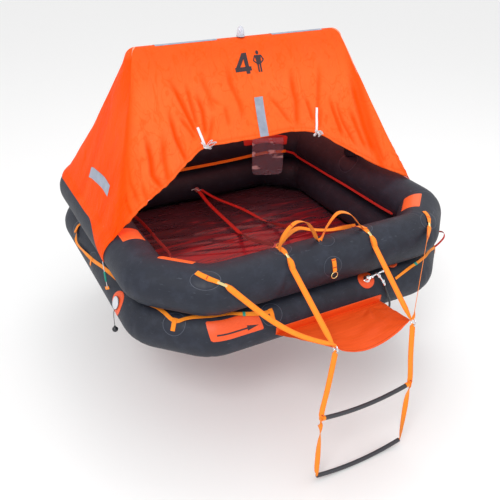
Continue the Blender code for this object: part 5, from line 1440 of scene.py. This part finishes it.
# Boarding ladder: webbing from the rings carries two rungs of thick black hose, which sag under their own weight.
# The lower lengths of webbing have twisted, and run into the lower hose's open ends.
hose_rubber, nodes = new_material("Ribbed hose rubber", (0.03, 0.031, 0.04), 0.35, Specular_IOR_Level=0.6)
nodes.feed(Roughness=nodes.span(nodes.noise(80, 4), 0.26, 0.48))
painted_bore_shade = new_material("Hose bore", (0.004, 0.004, 0.005), 0.9)[0]
upper_rung_z, lower_rung_z, rung_half, rung_end, rung_sag = -0.195, -0.55, 0.24, 0.2377, 0.026
rung_steps, rung_sides = 48, 28
for name, z in (("upper", upper_rung_z), ("lower", lower_rung_z)):
    line = [Vector((x, ring_y, z - rung_sag * (1 - (x / rung_half) ** 2)))
            for x in (rung_end * (2 * step / rung_steps - 1) for step in range(rung_steps + 1))]
    rows, rim, deep = (tube_rows(line, radius_at, rung_sides) for radius_at in (
        lambda i: 0.0097 if i in (0, rung_steps) else 0.01, lambda i: 0.0068, lambda i: 0.0064))
    mesh = capped(f"rung_hose_{name}", [deep[1], rim[0], *rows, rim[-1], deep[-2]], sharp=45)
    show(mesh, hose_rubber, "black_rubber", f"rung_{name}", f"ladder_{name}")
    for hand, end in (("left", 1), ("right", rung_steps - 1)):
        # Painted shade: a near-black disc just inside each open end of the hose.
        ring = [spot + (line[rung_steps // 2] - spot).normalized() * -0.0006 for spot in deep[end]]
        disc = bpy.data.meshes.new(f"rung_bore_{name}_{hand}")
        disc.from_pydata(ring, [], [tuple(range(rung_sides))])
        show(disc, painted_bore_shade, "black_rubber", body=f"ladder_{name}")


def turned_across(turn):
    """The direction of the webbing's width, turned by an angle in degrees from straight ahead."""
    return Vector((sin(radians(turn)), -cos(radians(turn)), 0))


def ladder_webbing(name, side, places, steps, turns, widths_at, **more):
    """Webbing beside the rungs through (x, z) places, its twist from a table and its width from a function."""
    line = smooth_route([(side * x, ring_y, z) for x, z in places], steps)
    across, widths = [], []
    for part in (i / (len(line) - 1) for i in range(len(line))):
        low, high, share = knots_round(turns, part)
        across.append(turned_across(low + (high - low) * share))
        widths.append(widths_at(part))
    webbing(name, line, across, 0.023, widths=widths, **more)


web_x, ring_foot = rung_half + 0.0013, ring_z - ring_radius - ring_wire - 0.0003
upper_turns = ((0, 15), (0.15, 45), (0.5, 62), (0.78, 46), (0.9, 5), (1, 0))
lower_turns = {"left": ((0, 0), (0.14, -4), (0.22, -62), (0.31, -152), (0.48, -242), (0.78, -332), (1, -405)),
               "right": ((0, 0), (0.14, -4), (0.26, -62), (0.6, -152), (0.92, -232), (1, -250))}
cap_profile = ((0, 0.0165), (0.0101, 0.0165), (0.011, 0.015), (0.0112, 0), (0.0102, -0.0022), (0, -0.0024))
for hand, side in hands:
    ladder_webbing(f"ladder_webbing_upper_{hand}", side, (
        (ring_x, ring_foot), (ring_x + 0.003, ring_foot - 0.03), (ring_x + 0.02, ring_foot - 0.175),
        (web_x - 0.0036, upper_rung_z + 0.06), (web_x + 0.0004, upper_rung_z + 0.015),
        (web_x + 0.0004, upper_rung_z - 0.006)), 9, upper_turns, lambda part: min(0.023, 0.011 + 0.16 * part),
        thick=0.0019, body="ladder_upper", stands_for=f"ladder_web_upper_{hand}")
    ramp_ring(f"ring_wrap_ladder_{hand}", side, 0.0044, orange_web, slot="webbing", turns=(-22, 22),
              body="ladder_upper")
    turned(f"rung_wrap_{hand}", cap_profile, (side * rung_end, ring_y, upper_rung_z - 0.0005), (-side, 0, -0.11),
           orange_web, "webbing", steps=28, body="ladder_upper")
    stitch_bar(f"ladder_stitch_{hand}", Vector((side * web_x, ring_y, upper_rung_z + 0.022)), z_way,
               turned_across(14), 0.023, 0.0028, "ladder_upper")
    ladder_webbing(f"ladder_webbing_lower_{hand}", side, (
        (web_x + 0.0034, upper_rung_z + 0.008), (web_x + 0.0034, upper_rung_z - 0.022),
        (web_x, upper_rung_z - 0.075), (web_x, (upper_rung_z + lower_rung_z) / 2), (web_x, lower_rung_z + 0.03),
        (web_x - 0.0006, lower_rung_z + 0.004)), 12, lower_turns[hand],
        lambda part: 0.023 - 0.013 * max(0, part - 0.9) / 0.1,
        thick=0.0017, body="ladder_lower", stands_for=f"ladder_web_lower_{hand}")
    tuck = smooth_route([(side * x, ring_y, lower_rung_z + z) for x, z in (
        (web_x - 0.0006, 0.006), (web_x - 0.0002, 0.001), (web_x - 0.005, -0.001), (web_x - 0.01, -0.0015))], 4)
    webbing(f"ladder_tuck_{hand}", tuck, y_way, 0.0095, 0.0022, body="ladder_lower")


# Floor under everything and soft studio light: a pale seamless floor, a broad key light from the upper left, a
# weaker one from the right and an even white surround, so that the raft lies in soft shade as in a studio.
bpy.ops.mesh.primitive_plane_add(size=60, location=(0, 0, cad_box[0].z - 0.004))
studio_floor = bpy.context.object
studio_floor.name = "studio_floor"
studio_floor.data.materials.append(new_material("Pale studio floor", (0.9, 0.9, 0.9), 0.9, Specular_IOR_Level=0.1)[0])

world = bpy.data.worlds.new("studio")
world.use_nodes = True
surround = world.node_tree.nodes["Background"].inputs
surround["Color"].default_value, surround["Strength"].default_value = (1, 1, 1, 1), 0.95
scene.world = world
scene.view_settings.view_transform = "Standard"
for name, place, size, power in (
    ("key_light", (-3, -3.6, 4.4), 1.6, 120),
    ("fill_light", (4.2, -2.2, 2.8), 3, 25),
    ("top_light", (0.6, 0.8, 5), 2.2, 40),
):
    lamp_data = bpy.data.lights.new(name, "AREA")
    lamp_data.size, lamp_data.energy = size, power
    lamp = bpy.data.objects.new(name, lamp_data)
    lamp.location, lamp.rotation_mode = place, "QUATERNION"
    lamp.rotation_quaternion = (Vector((0, 0, 0.2)) - Vector(place)).to_track_quat("-Z", "Y")
    scene.collection.objects.link(lamp)
